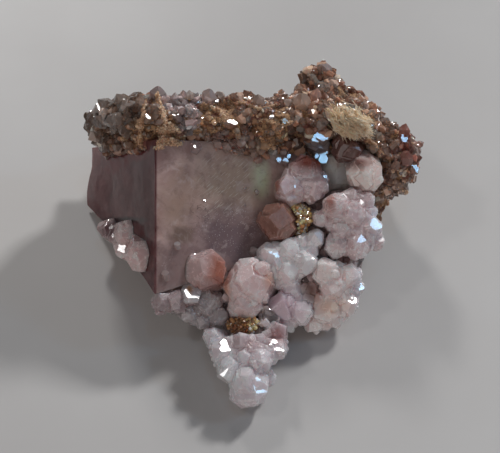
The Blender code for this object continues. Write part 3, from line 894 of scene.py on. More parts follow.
def small_crystals(count, seed, lengths, flat_top=0.0):
    """Crystals of radius 1 mm that stand on the origin, with tips cut flat at flat_top if it is given."""
    dice = random.Random(seed)
    made = []
    for _ in range(count):
        normals, distances = crystal_planes(1.0, dice.uniform(*lengths), dice)
        if flat_top:
            normals.append(Vector((0.0, 0.0, 1.0)))
            distances.append(flat_top)
        points, faces = hull_arrays(hull_shape(hull_from_planes(normals, distances), 0.0))
        points[:, 2] -= points[:, 2].min()
        made.append((points, faces))
    return made


def small_grains(count, seed, corners=8):
    """Rough grains of radius 1 mm about the origin."""
    dice = np.random.default_rng(seed)
    made = []
    for _ in range(count):
        points = dice.normal(0.0, 1.0, (corners, 3))
        points /= np.linalg.norm(points, axis=1)[:, None]
        points *= dice.uniform(0.75, 1.1, (corners, 1))
        made.append(hull_arrays(hull_shape(points, 0.0)))
    return made


def small_fibres(count, seed, lengths):
    """Thin, slightly bent spikes of radius 1 mm at the foot, that stand on the origin."""
    dice = random.Random(seed)
    ring = [(math.cos(math.tau * side / 4), math.sin(math.tau * side / 4)) for side in range(4)]
    made = []
    for _ in range(count):
        length = dice.uniform(*lengths)
        bend = Vector((dice.uniform(-1, 1), dice.uniform(-1, 1), 0.0)) * length * 0.12
        points = []
        for share, width in ((0.0, 1.0), (0.55, 0.8), (1.0, 0.25)):
            middle = Vector((0.0, 0.0, length * share)) + bend * share**2
            points += [middle + Vector((x * width, y * width, 0.0)) for x, y in ring]
        faces = [(3, 2, 1), (3, 1, 0), (8, 9, 10), (8, 10, 11)]
        for level in (0, 4):
            for side in range(4):
                a, b = level + side, level + (side + 1) % 4
                faces += [(a, b, b + 4), (a, b + 4, a + 4)]
        made.append((np.array([list(point) for point in points]), np.array(faces)))
    return made


def surface_samples(mesh, count, seed):
    """Places on a mesh, evenly spread, and the normals there, in millimetres and u, v and w."""
    mesh.calc_loop_triangles()
    corners = np.empty(len(mesh.vertices) * 3, np.float32)
    mesh.vertices.foreach_get("co", corners)
    corners = corners.reshape(-1, 3) / MM
    picks = np.empty(len(mesh.loop_triangles) * 3, np.int32)
    mesh.loop_triangles.foreach_get("vertices", picks)
    triangles = corners[picks.reshape(-1, 3)]
    cross = np.cross(triangles[:, 1] - triangles[:, 0], triangles[:, 2] - triangles[:, 0])
    area = np.linalg.norm(cross, axis=1)
    dice = np.random.default_rng(seed)
    chosen = dice.choice(len(area), count, p=area / area.sum())
    one = np.sqrt(dice.random(count))
    other = dice.random(count)
    weights = np.stack([1 - one, one * (1 - other), one * other], axis=1)
    places = (triangles[chosen] * weights[..., None]).sum(axis=1)
    return places, cross[chosen] / area[chosen, None]


def keep_apart(places, sizes, share):
    """Which places to keep, first come first served, so that no two are nearer than their sizes' share."""
    cell = float(sizes.max()) * 2 * share
    grid = {}
    kept = []
    for number, (place, size) in enumerate(zip(places, sizes)):
        key = tuple((place // cell).astype(int))
        near = [
            other
            for x in (-1, 0, 1)
            for y in (-1, 0, 1)
            for z in (-1, 0, 1)
            for other in grid.get((key[0] + x, key[1] + y, key[2] + z), ())
        ]
        gap = [np.dot(places[other] - place, places[other] - place) for other in near]
        if all(d > ((sizes[other] + size) * share) ** 2 for d, other in zip(gap, near)):
            grid.setdefault(key, []).append(number)
            kept.append(number)
    return np.array(kept, int)


def tint_layer(mesh, colours):
    layer = mesh.color_attributes.new("tint", "FLOAT_COLOR", "POINT")
    layer.data.foreach_set("color", colours.astype(np.float32).ravel())


def scatter(name, shapes, places, normals, sizes, tints, seed, tilt=0.4, sink=0.5):
    """One mesh of small shapes that stand on places, along the normals tipped by about tilt."""
    dice = np.random.default_rng(seed)
    points = []
    faces = []
    colours = []
    count = 0
    for place, normal, size, tint in zip(places, normals, sizes, tints):
        shape_points, shape_faces = shapes[dice.integers(len(shapes))]
        up = normal + dice.normal(0.0, tilt, 3)
        up /= np.linalg.norm(up)
        side = np.cross(up, dice.normal(0.0, 1.0, 3))
        side /= np.linalg.norm(side)
        axes = np.stack([side * dice.uniform(0.8, 1.25), np.cross(up, side), up])
        points.append((shape_points * size) @ axes + place - up * size * sink)
        faces.append(shape_faces + count)
        count += len(shape_points)
        colours.append(np.repeat([[*tint, 1.0]], len(shape_points), axis=0))
    mesh = mesh_from_arrays(name, np.concatenate(points) * MM, np.concatenate(faces))
    tint_layer(mesh, np.concatenate(colours))
    return mesh


# ---------------------------------------------------------------- stage
def make_floor():
    shape = bmesh.new()
    bmesh.ops.create_grid(shape, x_segments=8, y_segments=8, size=FLOOR_HALF)
    floor = plain_object("table", mesh_from(shape, "table"))
    floor.data.materials.append(floor_finish())


def make_camera():
    lens = bpy.data.cameras.new("camera")
    lens.sensor_width = SENSOR
    lens.lens = SENSOR * CAMERA_REACH / VIEW_WIDTH
    lens.clip_start = NEAREST
    camera = plain_object("camera", lens)
    camera.matrix_world = FACE @ Matrix.Translation(EYE * MM)
    bpy.context.scene.camera = camera


def make_lights():
    for name, (toward, reach, width, power, colour) in LIGHTS.items():
        light = bpy.data.lights.new(name, "AREA")
        light.shape = "SQUARE"
        light.size = width
        light.energy = power
        light.color = colour
        lamp = plain_object(name, light)
        direction = Vector(toward).normalized()
        lamp.rotation_mode = "QUATERNION"
        lamp.rotation_quaternion = direction.to_track_quat("Z", "Y")
        lamp.location = direction * reach
    world = bpy.data.worlds.new("room")
    bpy.context.scene.world = world
    world.use_nodes = True
    back = world.node_tree.nodes["Background"]
    back.inputs["Color"].default_value = FILL_COLOUR
    back.inputs["Strength"].default_value = FILL
    bpy.context.scene.view_settings.view_transform = "Standard"


# ---------------------------------------------------------------- the specimen
# Quartz by CAD node: slot, darker and paler colour, share of light let through, and zones laid over the
# colour, each by its
# middle, half sizes and colour: mostly stains, with painted shade and painted light where marked.
QUARTZ = {
    "quartz_ball_left": (
        "pink_quartz", (0.59, 0.40, 0.385), (0.83, 0.65, 0.64), 0.25, (
            ((-5.6, 24.4, -2.0), (1.9, 3.4, 4.0), (0.50, 0.19, 0.13)),
            ((-8.4, 21.9, -1.5), (3.0, 1.0, 4.0), (0.50, 0.30, 0.28)),
        ),
    ),
    "quartz_ball_centre": (
        "pink_quartz", (0.82, 0.60, 0.59), (1.0, 0.85, 0.84), 0.2, (
            ((-4.3, 21.5, -3.0), (0.7, 3.0, 3.0), (0.66, 0.33, 0.24)),
            ((3.8, 23.4, -3.0), (1.3, 1.6, 3.0), (0.68, 0.40, 0.32)),
        ),
    ),
    "quartz_point_foot": (
        "clear_quartz", (0.68, 0.6, 0.6), (0.91, 0.88, 0.9), 0.4, (
            ((-10.9, 21.8, -0.8), (0.6, 0.8, 1.4), (0.62, 0.28, 0.08)),
            ((-11.0, 18.4, -2.0), (2.8, 0.7, 3.0), (0.34, 0.10, 0.08)),
        ),
    ),
    "quartz_crystal_brown": ("brown_quartz", (0.30, 0.135, 0.10), (0.46, 0.26, 0.21), 0.25, ()),
    "quartz_crystal_cream": (
        "cream_quartz", (0.85, 0.63, 0.59), (1.0, 0.85, 0.80), 0.2, (
            # Painted shade: the darker upper left face, under the crust.
            ((19.8, 45.0, -6.0), (2.6, 1.3, 3.0), (0.34, 0.20, 0.18)),
        ),
    ),
    "quartz_crystal_dark": ("brown_quartz", (0.12, 0.04, 0.03), (0.23, 0.12, 0.1), 0.2, ()),
    "quartz_cluster_upper": (
        "pink_quartz", (0.67, 0.47, 0.475), (0.98, 0.82, 0.83), 0.25, (
            ((11.4, 45.2, -7.5), (3.4, 1.9, 4.0), (0.34, 0.09, 0.06)),
            # Painted shadow: a dark red strip down the cluster's left edge.
            ((4.9, 41.0, -7.0), (0.7, 2.5, 3.0), (0.40, 0.17, 0.14)),
        ),
    ),
    "quartz_cluster_centre": (
        "clear_quartz", (0.88, 0.76, 0.78), (1.0, 0.97, 0.98), 0.15, (
            # Painted shade: dark brown in the hollow beside the lower right cluster.
            ((11.4, 21.4, -7.0), (2.0, 2.0, 3.0), (0.26, 0.13, 0.10)),
            ((6.0, 18.5, -4.5), (3.4, 3.0, 4.0), (0.66, 0.50, 0.56)),
        ),
    ),
    "quartz_cluster_right": (
        "pink_quartz", (0.66, 0.49, 0.50), (1.0, 0.87, 0.87), 0.25, (
            # Painted light: a pale bluish rim on the right side.
            ((23.2, 34.0, -6.5), (1.4, 3.2, 3.0), (0.82, 0.80, 0.88)),
            ((14.6, 37.6, -5.0), (0.8, 2.4, 3.0), (0.58, 0.32, 0.28)),
        ),
    ),
    "quartz_cluster_lower_right": (
        "pink_quartz", (0.94, 0.70, 0.68), (1.0, 0.88, 0.86), 0.15, (
            ((15.0, 18.3, -4.2), (2.6, 1.5, 3.0), (1.0, 0.70, 0.60)),
            # Painted shade: in the hollow beside the centre cluster.
            ((11.6, 20.6, -6.0), (1.2, 1.4, 3.0), (0.62, 0.36, 0.30)),
            # Painted light: a pale bluish right edge.
            ((20.0, 22.5, -6.0), (1.2, 3.4, 3.0), (0.80, 0.78, 0.84)),
        ),
    ),
    "quartz_cluster_tip": (
        "clear_quartz", (0.78, 0.68, 0.72), (1.0, 0.94, 0.97), 0.3, (
            # Painted shade: the darker crystal under the centre cluster.
            ((5.0, 13.4, -1.0), (1.8, 1.6, 3.0), (0.46, 0.26, 0.26)),
            ((-0.3, 12.0, 0.6), (2.6, 1.4, 2.5), (0.60, 0.45, 0.46)),
            # Painted light: a near-white patch that brightens the lower left crystals.
            ((-4.2, 6.6, 1.0), (3.2, 3.0, 4.0), (0.96, 0.95, 1.0)),
        ),
    ),
    "quartz_foot_blocks": ("clear_quartz", (0.49, 0.38, 0.39), (0.76, 0.63, 0.64), 0.45, ()),
    "quartz_foot_druse": ("clear_quartz", (0.56, 0.48, 0.49), (0.86, 0.79, 0.80), 0.45, ()),
    "quartz_cluster_left": (
        "pink_quartz", (0.70, 0.465, 0.46), (1.0, 0.82, 0.80), 0.25, (
            ((-26.8, 32.2, -15.0), (2.6, 2.0, 5.0), (0.26, 0.16, 0.17)),
        ),
    ),
}


def make_quartz():
    room = cube_room(0.05)
    for seed, (name, rows) in enumerate(CLUSTERS.items(), 1):
        slot, deep, pale, clear, stains_and_painted_light = QUARTZ[name]
        mesh = crystal_piece(name, rows, seed, room)
        add_piece(name + "_crystals", mesh, quartz_finish(name, deep, pale, clear, stains_and_painted_light), slot, name)


# ---------------------------------------------------------------- the crust
PALETTES = {
    "smoky": ((0.22, 0.13, 0.085), (0.46, 0.33, 0.26), (0.78, 0.65, 0.58), (0.09, 0.04, 0.025)),
    "golden": ((0.42, 0.18, 0.08), (0.68, 0.36, 0.18), (0.85, 0.54, 0.32), (0.50, 0.26, 0.14)),
    "sandy": ((1.0, 0.62, 0.37), (1.0, 0.78, 0.53), (0.74, 0.40, 0.22), (0.38, 0.18, 0.10)),
    "yellow": ((1.0, 0.70, 0.43), (0.88, 0.56, 0.32), (1.0, 0.84, 0.60), (0.76, 0.46, 0.25)),
    "lilac": ((0.58, 0.42, 0.42), (0.74, 0.59, 0.60), (0.88, 0.77, 0.79)),
    "red": ((0.32, 0.07, 0.05), (0.50, 0.17, 0.13), (0.66, 0.33, 0.26), (0.80, 0.52, 0.44)),
    "brown": ((0.25, 0.095, 0.06), (0.48, 0.24, 0.155), (0.74, 0.46, 0.33), (0.92, 0.66, 0.54)),
    "dark": ((0.13, 0.05, 0.033), (0.24, 0.115, 0.075), (0.38, 0.22, 0.16)),
    "matrix": ((0.56, 0.44, 0.46), (0.70, 0.60, 0.62), (0.44, 0.33, 0.34)),
    "grit": ((0.80, 0.50, 0.29), (0.60, 0.33, 0.18), (0.95, 0.72, 0.50), (0.28, 0.12, 0.06)),
    "brown_grit": ((0.40, 0.17, 0.10), (0.17, 0.065, 0.037), (0.62, 0.34, 0.22)),
    "tuft": (
        (1.0, 0.64, 0.34),
        (0.86, 0.48, 0.21),
        (1.0, 0.88, 0.68),
        (0.48, 0.22, 0.085),
        (0.14, 0.06, 0.03),
    ),
    "tuft_dark": ((0.30, 0.095, 0.035), (0.14, 0.04, 0.016), (0.50, 0.23, 0.09)),
    "specks": ((0.85, 0.80, 0.82), (0.70, 0.64, 0.66)),
    "needles": ((0.80, 0.68, 0.55), (0.60, 0.40, 0.25), (0.88, 0.84, 0.82)),
}

# The crust, roughly from left to right: u, v, reach, smallest and largest crystal radius, tints, and the
# shares of its crystals that are clear and of its face that is bare.
CRUST = (
    (-27.5, 53.0, 5.6, 0.45, 1.20, "smoky", 0.8, 0.1),
    (-25.0, 49.6, 3.0, 0.25, 0.70, "dark", 0.5, 0.35),
    (-22.5, 54.5, 3.2, 0.40, 1.00, "smoky", 0.75, 0.25),
    (-20.5, 50.5, 3.0, 0.20, 0.55, "golden", 0.7, 0.55),
    (-15.3, 48.8, 3.4, 0.15, 0.35, "sandy", 0.2, 0.75),
    (-11.7, 54.9, 4.5, 0.30, 0.80, "lilac", 0.7, 0.3),
    (-6.3, 53.6, 4.2, 0.18, 0.50, "golden", 0.6, 0.55),
    (-4.5, 48.2, 3.2, 0.30, 0.85, "red", 0.8, 0.3),
    (-1.8, 51.2, 3.2, 0.25, 0.85, "brown", 0.75, 0.45),
    (3.6, 51.6, 4.4, 0.20, 0.65, "golden", 0.7, 0.5),
    (3.6, 56.2, 4.6, 0.20, 0.60, "brown", 0.7, 0.4),
    (9.9, 53.1, 4.6, 0.28, 0.80, "brown", 0.75, 0.4),
    (13.0, 59.5, 5.0, 0.28, 0.85, "brown", 0.6, 0.3),
    (19.0, 57.0, 5.0, 0.25, 0.75, "brown", 0.5, 0.45),
    (24.0, 50.5, 5.0, 0.28, 0.90, "brown", 0.75, 0.4),
    (30.5, 48.0, 5.0, 0.28, 0.80, "red", 0.75, 0.3),
    (29.0, 41.0, 5.0, 0.28, 0.85, "brown", 0.55, 0.4),
    (27.5, 36.0, 4.0, 0.20, 0.50, "golden", 0.3, 0.6),
)
CRUST_ELSEWHERE = (0.28, 0.85, "brown", 0.5, 0.35)
CRUST_ON_MATRIX = (0.5, 1.1, "matrix", 0.3, 0.1)
BACK_BARE = 0.6  # the bare share behind BACK
CRUST_FOOT = 43.0  # below this, and left of the crust's right end, the rock is quartz matrix
CRUST_RIGHT = 21.0
CRUST_SAMPLES = 30000  # places tried for crystals, and for grit
GRIT_SAMPLES = 19000
PIECE_CRYSTALS = 4200  # at most, in one mesh
CUT_SHARE = 0.06  # of the crust's smaller crystals, with a tip that mirrors the window
CUT_LARGEST = 0.4
TINT_SPREAD = (0.5, 1.45)  # how much darker or paler than its palette a crystal's tint is
PALEST = 0.9
GLASS_TINT = 0.55  # clear bodies are paler than their tint, by this power


def in_window(u, v):
    return any(left < u < right and low < v < high for (left, right), (low, high) in WINDOWS)


def crust_rule(place, dice):
    """The radius, tint and clearness for a small crystal at a place, or None where the crust is bare."""
    u, v, w = place
    if in_window(u, v) and w > BACK:
        return None
    low, high, palette, clear, bare = CRUST_ELSEWHERE
    if v < CRUST_FOOT and u < CRUST_RIGHT and w > BACK:
        low, high, palette, clear, bare = CRUST_ON_MATRIX
    else:
        nearness, row = min((math.hypot(u - row[0], v - row[1]) / row[2], row) for row in CRUST)
        if nearness < 1.0 + 0.3 * noise.noise(Vector(place) / 2.0):
            low, high, palette, clear, bare = row[3:]
        if w < BACK:
            bare = BACK_BARE
    if 0.5 + 0.9 * noise.noise(Vector(place) / 1.7 + Vector((7.0, 3.0, 1.0))) < bare:
        return None
    colours = np.array(PALETTES[palette])
    pick = 0.5 + 0.8 * noise.noise(Vector(place) / 1.5) + dice.normal(0.0, 0.15)
    colour = colours[int(min(max(pick, 0.0), 0.999) * len(colours))] * dice.uniform(*TINT_SPREAD)
    return low + (high - low) * dice.random() ** 2.5, np.clip(colour, 0.0, PALEST), dice.random() < clear


def height_of(place):
    """How far a place in millimetres of u, v and w is above the table."""
    return (FACE @ Vector(place * MM)).z / MM


def heights_of(places):
    return np.array([height_of(place) for place in places])


def scatter_crystals(rock, beads):
    """The crust's small crystals, clear of the beads. Gives places and normals on them."""
    places, normals = surface_samples(rock, CRUST_SAMPLES, 5)
    dice = np.random.default_rng(6)
    standing = heights_of(places) > 1.2
    for place, _, radius, _, _ in beads:
        standing &= np.linalg.norm(places - place, axis=1) > 0.9 * radius
    places, normals = places[standing], normals[standing]
    rules = [crust_rule(place, dice) for place in places]
    picks = np.array([number for number, rule in enumerate(rules) if rule], int)
    picks = picks[np.argsort([-rules[number][0] for number in picks])]
    sizes = np.array([rules[number][0] for number in picks])
    kept = keep_apart(places[picks], sizes, 0.5)
    kept = kept[heights_of(places[picks[kept]]) > 1.3 * sizes[kept]]
    picks, sizes = picks[kept], sizes[kept]
    places, normals = places[picks], normals[picks]
    tints = np.array([rules[number][1] for number in picks])
    clear = np.array([rules[number][2] for number in picks])
    mirrors = np.array([mirror_normal(Vector(place), "window_right") for place in places])
    cut = ((normals * mirrors).sum(axis=1) > 0.45) & (places[:, 2] > BACK)
    cut &= (dice.random(len(sizes)) < CUT_SHARE) & (sizes < CUT_LARGEST)
    whole = small_crystals(40, 3, (0.5, 2.0))
    topped = small_crystals(12, 4, (1.2, 1.8), 0.5)
    milky = tinted_finish("crust_milky", (0.66, 0.44, 0.33), 0.35, 0.15, (0.06, 0.2))
    glassy = tinted_finish("crust_glassy", (0.88, 0.64, 0.53), 0.35, 0.8, (0.02, 0.08), 0.03)
    tops = []
    for name, finish, chosen, shapes, ups, tilt, sink in (
        ("crust_glassy", glassy, clear & ~cut, whole, normals, 0.6, 0.8),
        ("crust_milky", milky, ~clear & ~cut, whole, normals, 0.6, 0.8),
        ("crust_faceted", glassy, cut, topped, mirrors, 0.02, 0.9),
    ):
        numbers = np.flatnonzero(chosen)
        for part in range(0, len(numbers), PIECE_CRYSTALS):
            rows = numbers[part : part + PIECE_CRYSTALS]
            colours = tints[rows] ** GLASS_TINT if finish is glassy else tints[rows]
            made = scatter(name, shapes, places[rows], ups[rows], sizes[rows], colours, 11, tilt, sink)
            tops.append(surface_samples(made, 9000, 62))
            add_piece(f"{name}_{part // PIECE_CRYSTALS + 1}", made, finish, "clear_quartz")
    return tuple(np.concatenate(column) for column in zip(*tops))


def pick_tint(palette, dice):
    colours = PALETTES[palette]
    return np.array(colours[dice.integers(len(colours))])


def palette_tints(palette, count, dice):
    """Tints from a palette, each a little lighter or darker."""
    colours = np.array(PALETTES[palette])
    tints = colours[dice.integers(len(colours), size=count)] * dice.uniform(0.8, 1.25, (count, 1))
    return np.clip(tints, 0.0, PALEST)


def scatter_grit(rock):
    places, normals = surface_samples(rock, GRIT_SAMPLES, 8)
    dice = np.random.default_rng(9)
    crust = (places[:, 1] > CRUST_FOOT) | (places[:, 0] > CRUST_RIGHT) | (places[:, 2] < BACK)
    crust &= heights_of(places) > 0.6
    places, normals = places[crust], normals[crust]
    sizes = 0.09 + 0.22 * dice.random(len(places)) ** 2
    golden = np.array([noise.noise(Vector(place) / 1.4) for place in places])
    golden = golden + dice.normal(0.0, 0.2, len(places)) > 0.0
    tints = palette_tints("grit", len(places), dice)
    tints = np.where(golden[:, None], tints, palette_tints("brown_grit", len(places), dice))
    made = scatter("crust_grit", small_grains(24, 4, 6), places, normals, sizes, tints, 12, 0.5, -0.3)
    finish = tinted_finish("golden_grit", (0.55, 0.36, 0.16), 0.3, 0.0, (0.2, 0.45))
    add_piece("crust_grit", made, finish, "limonite")


SPARKLE_LIGHTS = ("window_right", "window_right", "window_right", "window_back", "lamp_left")


def set_sparkles(name, samples, count, sizes, seed, palette, slot):
    """Tiny flat-topped crystals on sampled places, turned so that they mirror a window to the camera."""
    dice = np.random.default_rng(seed)
    rows = []
    order = dice.permutation(len(samples[0]))
    for place, normal in zip(samples[0][order], samples[1][order]):
        light = SPARKLE_LIGHTS[dice.integers(len(SPARKLE_LIGHTS))]
        up = np.array(mirror_normal(Vector(place), light))
        seen = normal[2] > 0.25 and normal @ up > 0.5
        if seen and place[2] > BACK and height_of(place) > 1.5:
            rows.append((place, up, dice.uniform(*sizes)))
    places, ups, radii = columns(rows[:count])
    tints = palette_tints(palette, len(places), dice)
    shapes = small_crystals(8, seed + 1, (0.8, 1.2), 0.5)
    made = scatter(name, shapes, places, ups, radii, tints, seed + 2, 0.015, 0.3)
    add_piece(name, made, tinted_finish(name, (0.85, 0.82, 0.80), 0.4, 0.5, (0.03, 0.06), 0.004), slot)


# Where the camera looks past the meshes' edge: how far behind the display face's plane the nearest surface is
# looked for, and the normal taken there.
BEHIND_FACE = 4.0
EDGE_NORMAL = (0.0, 0.9, 0.35)


class Surface:
    """The surface of meshes, where small things stand at what the camera sees at a point (u, v)."""

    def __init__(self, *meshes, base=None):
        self.points = list(base.points) if base else []
        self.faces = list(base.faces) if base else []
        for mesh in meshes:
            start = len(self.points)
            self.points += [vert.co / MM for vert in mesh.vertices]
            self.faces += [tuple(start + corner for corner in face.vertices) for face in mesh.polygons]
        self.tree = BVHTree.FromPolygons(self.points, self.faces)

    def hit(self, u, v):
        """The place and normal that the camera sees at (u, v), or nearest to it past the edge."""
        aim = way_from_eye(u, v)
        place, normal, _, _ = self.tree.ray_cast(EYE, aim)
        if place is None:
            place, _, _, _ = self.tree.find_nearest(EYE + aim * (CAMERA_REACH / -aim.z + BEHIND_FACE))
            normal = Vector(EDGE_NORMAL)
        return place, normal


# Crystals that stand out on the crust and the fluorite, as u, v and radius, in runs of one tint and of the
# light that their cut tips mirror, if any.
BEADS = (
    ("lilac", None, (
        (-16.4, 58.2, 1.15), (-17.7, 57.6, 0.95), (-15.2, 57.8, 0.95), (-8.1, 57.4, 1.20),
        (-13.4, 57.2, 0.75),
    )),
    ("smoky", None, ((-11.6, 57.0, 0.65), (-4.6, 57.4, 0.80))),
    ("brown", None, ((-1.6, 57.6, 0.70),)),
    ("smoky", None, ((1.4, 58.0, 0.85),)),
    ("red", None, ((4.6, 57.8, 0.60),)),
    ("smoky", None, (
        (-29.6, 48.4, 0.95), (-27.9, 47.8, 0.85), (-25.9, 47.9, 0.80), (-24.0, 47.4, 0.85),
    )),
    ("golden", None, ((-21.6, 47.6, 0.90),)),
    ("lilac", "window_right", ((-9.5, 47.6, 0.85),)),
    ("red", None, ((-7.2, 48.9, 0.90), (-5.9, 48.1, 1.00), (-4.3, 47.4, 1.00))),
    ("red", "window_right", ((-3.3, 48.4, 0.75),)),
    ("red", None, ((-1.6, 48.2, 0.85), (-0.6, 47.2, 0.70), (0.6, 46.3, 0.80), (1.4, 45.0, 0.75))),
    ("brown", None, ((2.0, 46.8, 0.80),)),
    ("lilac", None, ((4.2, 46.4, 0.75), (6.0, 46.4, 0.70))),
    ("brown", None, ((6.9, 47.8, 0.80),)),
    ("smoky", None, ((8.8, 47.4, 0.80), (9.9, 47.2, 0.60))),
    ("lilac", "sky_high", (
        (6.4, 44.7, 0.60), (10.8, 48.5, 1.10), (11.9, 49.1, 1.20), (13.0, 49.3, 1.10),
        (11.4, 47.6, 1.15), (12.4, 48.0, 1.25), (13.1, 47.9, 1.10), (12.0, 46.8, 1.15),
        (12.9, 46.8, 1.15), (12.5, 45.8, 1.05), (13.1, 45.1, 0.90), (5.2, 45.0, 0.50),
        (7.0, 45.6, 0.45),
    )),
    ("smoky", "window_right", ((-27.0, 54.4, 0.85), (-28.0, 53.2, 0.90))),
    ("smoky", None, ((-24.2, 56.0, 1.10), (-29.8, 51.2, 1.05), (-22.3, 57.0, 0.90))),
    ("golden", "window_right", ((-18.2, 52.6, 0.70),)),
    ("brown", "window_right", ((-2.9, 51.6, 0.60), (-3.9, 52.2, 0.60))),
    ("golden", "window_back", ((-2.2, 49.8, 0.50),)),
    ("brown", "window_right", ((4.1, 50.3, 0.50),)),
    ("brown", None, ((7.2, 54.8, 0.90), (12.6, 51.6, 0.95), (9.4, 60.2, 1.50))),
    ("red", None, ((12.0, 62.4, 1.10),)),
    ("lilac", None, ((13.6, 61.4, 1.00),)),
    ("red", "sky_right", ((27.6, 48.8, 0.80),)),
    ("brown", "sky_right", ((29.4, 43.2, 0.90),)),
    ("brown", None, ((24.5, 46.5, 1.00),)),
    ("lilac", None, ((22.4, 44.4, 0.90),)),
    ("brown", None, ((26.4, 44.0, 0.95),)),
    ("red", None, ((28.6, 50.6, 1.10), (31.0, 45.4, 1.05))),
    ("lilac", "window_back", ((-13.1, 30.0, 0.62), (-15.2, 24.5, 0.70))),
    ("lilac", None, ((0.6, 28.3, 0.85),)),
    ("lilac", "window_right", ((-0.9, 40.0, 0.24), (1.3, 39.4, 0.42), (-8.1, 37.8, 0.22))),
    ("lilac", "window_back", ((-0.9, 37.0, 0.18),)),
)
TIP_RISE = 1.4  # a cut tip's height above the bead's place, in radii


def bead_rows(surface):
    """The places, directions, radii, tints and lights of the beads."""
    dice = np.random.default_rng(21)
    rows = []
    for palette, light, beads in BEADS:
        for u, v, radius in beads:
            place, normal = surface.hit(u, v)
            if light:
                up = mirror_normal(place, light)
                place, _ = surface.hit(u - up.x * radius * TIP_RISE, v - up.y * radius * TIP_RISE)
            else:
                up = (normal + Vector((0.0, 0.3, 0.3))).normalized()
            rows.append((np.array(place), np.array(up), radius, pick_tint(palette, dice), light))
    return rows


def set_beads(beads):
    """The bigger crystals of the crust, a cut tip turned so that it mirrors its light."""
    whole = small_crystals(12, 22, (0.8, 1.2))
    cut = small_crystals(8, 23, (1.4, 2.0), 0.3)
    for shapes, name, lit in ((whole, "crust_beads", False), (cut, "crust_cut_beads", True)):
        places, ups, sizes, tints = columns(row[:4] for row in beads if bool(row[4]) == lit)
        tints = [tint**GLASS_TINT for tint in tints]
        tilt, sink = (0.0, 0.4) if lit else (0.2, 0.5)
        made = scatter(name, shapes, places, ups, sizes, tints, 24, tilt, sink)
        finish = tinted_finish(name, (0.78, 0.66, 0.60), 0.35, 0.7, (0.03, 0.08), 0.01)
        add_piece(name, made, finish, "clear_quartz")


# Crests of grit that stand out of the crust: a path of u and v, half width, height and tints.
CRESTS = (
    (((-18.9, 55.9), (-19.5, 51.5), (-19.9, 47.0)), 0.5, 1.6, "golden"),
    (((-17.0, 56.8), (-15.8, 53.4), (-15.2, 50.0), (-16.3, 46.9)), 0.75, 2.2, "sandy"),
    (((-15.6, 50.6), (-14.4, 48.6), (-13.4, 47.6)), 1.5, 1.6, "sandy"),
    (((-14.6, 51.4), (-13.2, 50.2), (-12.6, 48.6)), 1.2, 1.2, "sandy"),
    (((-23.2, 50.5), (-22.6, 48.4)), 0.5, 1.0, "sandy"),
    (((19.5, 49.5), (22.5, 47.5), (24.0, 44.6)), 0.9, 1.0, "golden"),
    (((26.8, 40.6), (27.4, 38.0), (26.2, 36.2)), 0.9, 0.9, "sandy"),
    (((-2.0, 55.4), (1.5, 54.0), (4.8, 54.8)), 0.8, 0.8, "golden"),
    (((-8.4, 55.0), (-5.2, 53.6), (-4.4, 51.6)), 0.8, 0.9, "golden"),
    (((2.6, 52.2), (5.2, 51.0), (8.0, 51.8)), 0.9, 0.8, "golden"),
)
CREST_GRAINS = 190  # to a square millimetre of path by half width
CREST_GRAIN = (0.18, 0.36)


def path_point(path, share):
    """The place at a share of the way along a path of u and v."""
    along = share * (len(path) - 1)
    start = min(int(along), len(path) - 2)
    (u0, v0), (u1, v1) = path[start], path[start + 1]
    return u0 + (u1 - u0) * (along - start), v0 + (v1 - v0) * (along - start)


def set_crests(surface):
    dice = np.random.default_rng(31)
    rows = []
    for path, width, height, palette in CRESTS:
        length = sum(math.dist(one, other) for one, other in zip(path, path[1:]))
        for _ in range(int(length * CREST_GRAINS * width)):
            u, v = path_point(path, dice.random())
            across = dice.normal(0.0, 0.45)
            place, normal = surface.hit(u + across * width, v)
            ridge = 1.0 + 0.5 * noise.noise(Vector((u, v, 0.0)) / 0.9)
            rise = height * ridge * max(1.0 - abs(across), 0.0) * dice.random()
            colour = pick_tint(palette, dice) * dice.uniform(0.8, 1.15)
            lifted = place + Vector((0.1, 0.25, 0.95)) * rise
            rows.append((np.array(lifted), np.array(normal), dice.uniform(*CREST_GRAIN), colour))
    places, ups, sizes, tints = columns(rows)
    made = scatter("crust_crests", small_grains(24, 32, 6), places, ups, sizes, tints, 33, 0.5, 0.2)
    finish = tinted_finish("sandy_grit", (0.95, 0.66, 0.42), 0.3, 0.0, (0.4, 0.7))
    add_piece("crust_crests", made, finish, "yellow_limonite")


def make_crust(fluorite):
    cutters = [window_cutter(window) for window in (*WINDOWS, LEFT_FOOT)]
    rock = worn_copy("host_rock", ROCK_CELL, rock_depth, cutters)
    surface = Surface(rock, fluorite)
    beads = bead_rows(surface)
    tops = scatter_crystals(rock, beads)
    scatter_grit(rock)
    set_sparkles("crust_sparkles", tops, 1500, (0.05, 0.16), 61, "lilac", "clear_quartz")
    low = surface_samples(rock, 16000, 63)
    set_sparkles("grit_sparkles", low, 320, (0.08, 0.22), 64, "golden", "limonite")
    set_beads(beads)
    set_crests(surface)
    add_piece("host_rock_body", rock, rock_finish(), "limonite", "host_rock")
    add_piece("fluorite_cube_crystal", fluorite, fluorite_finish(), "fluorite", "fluorite_cube")
    return surface


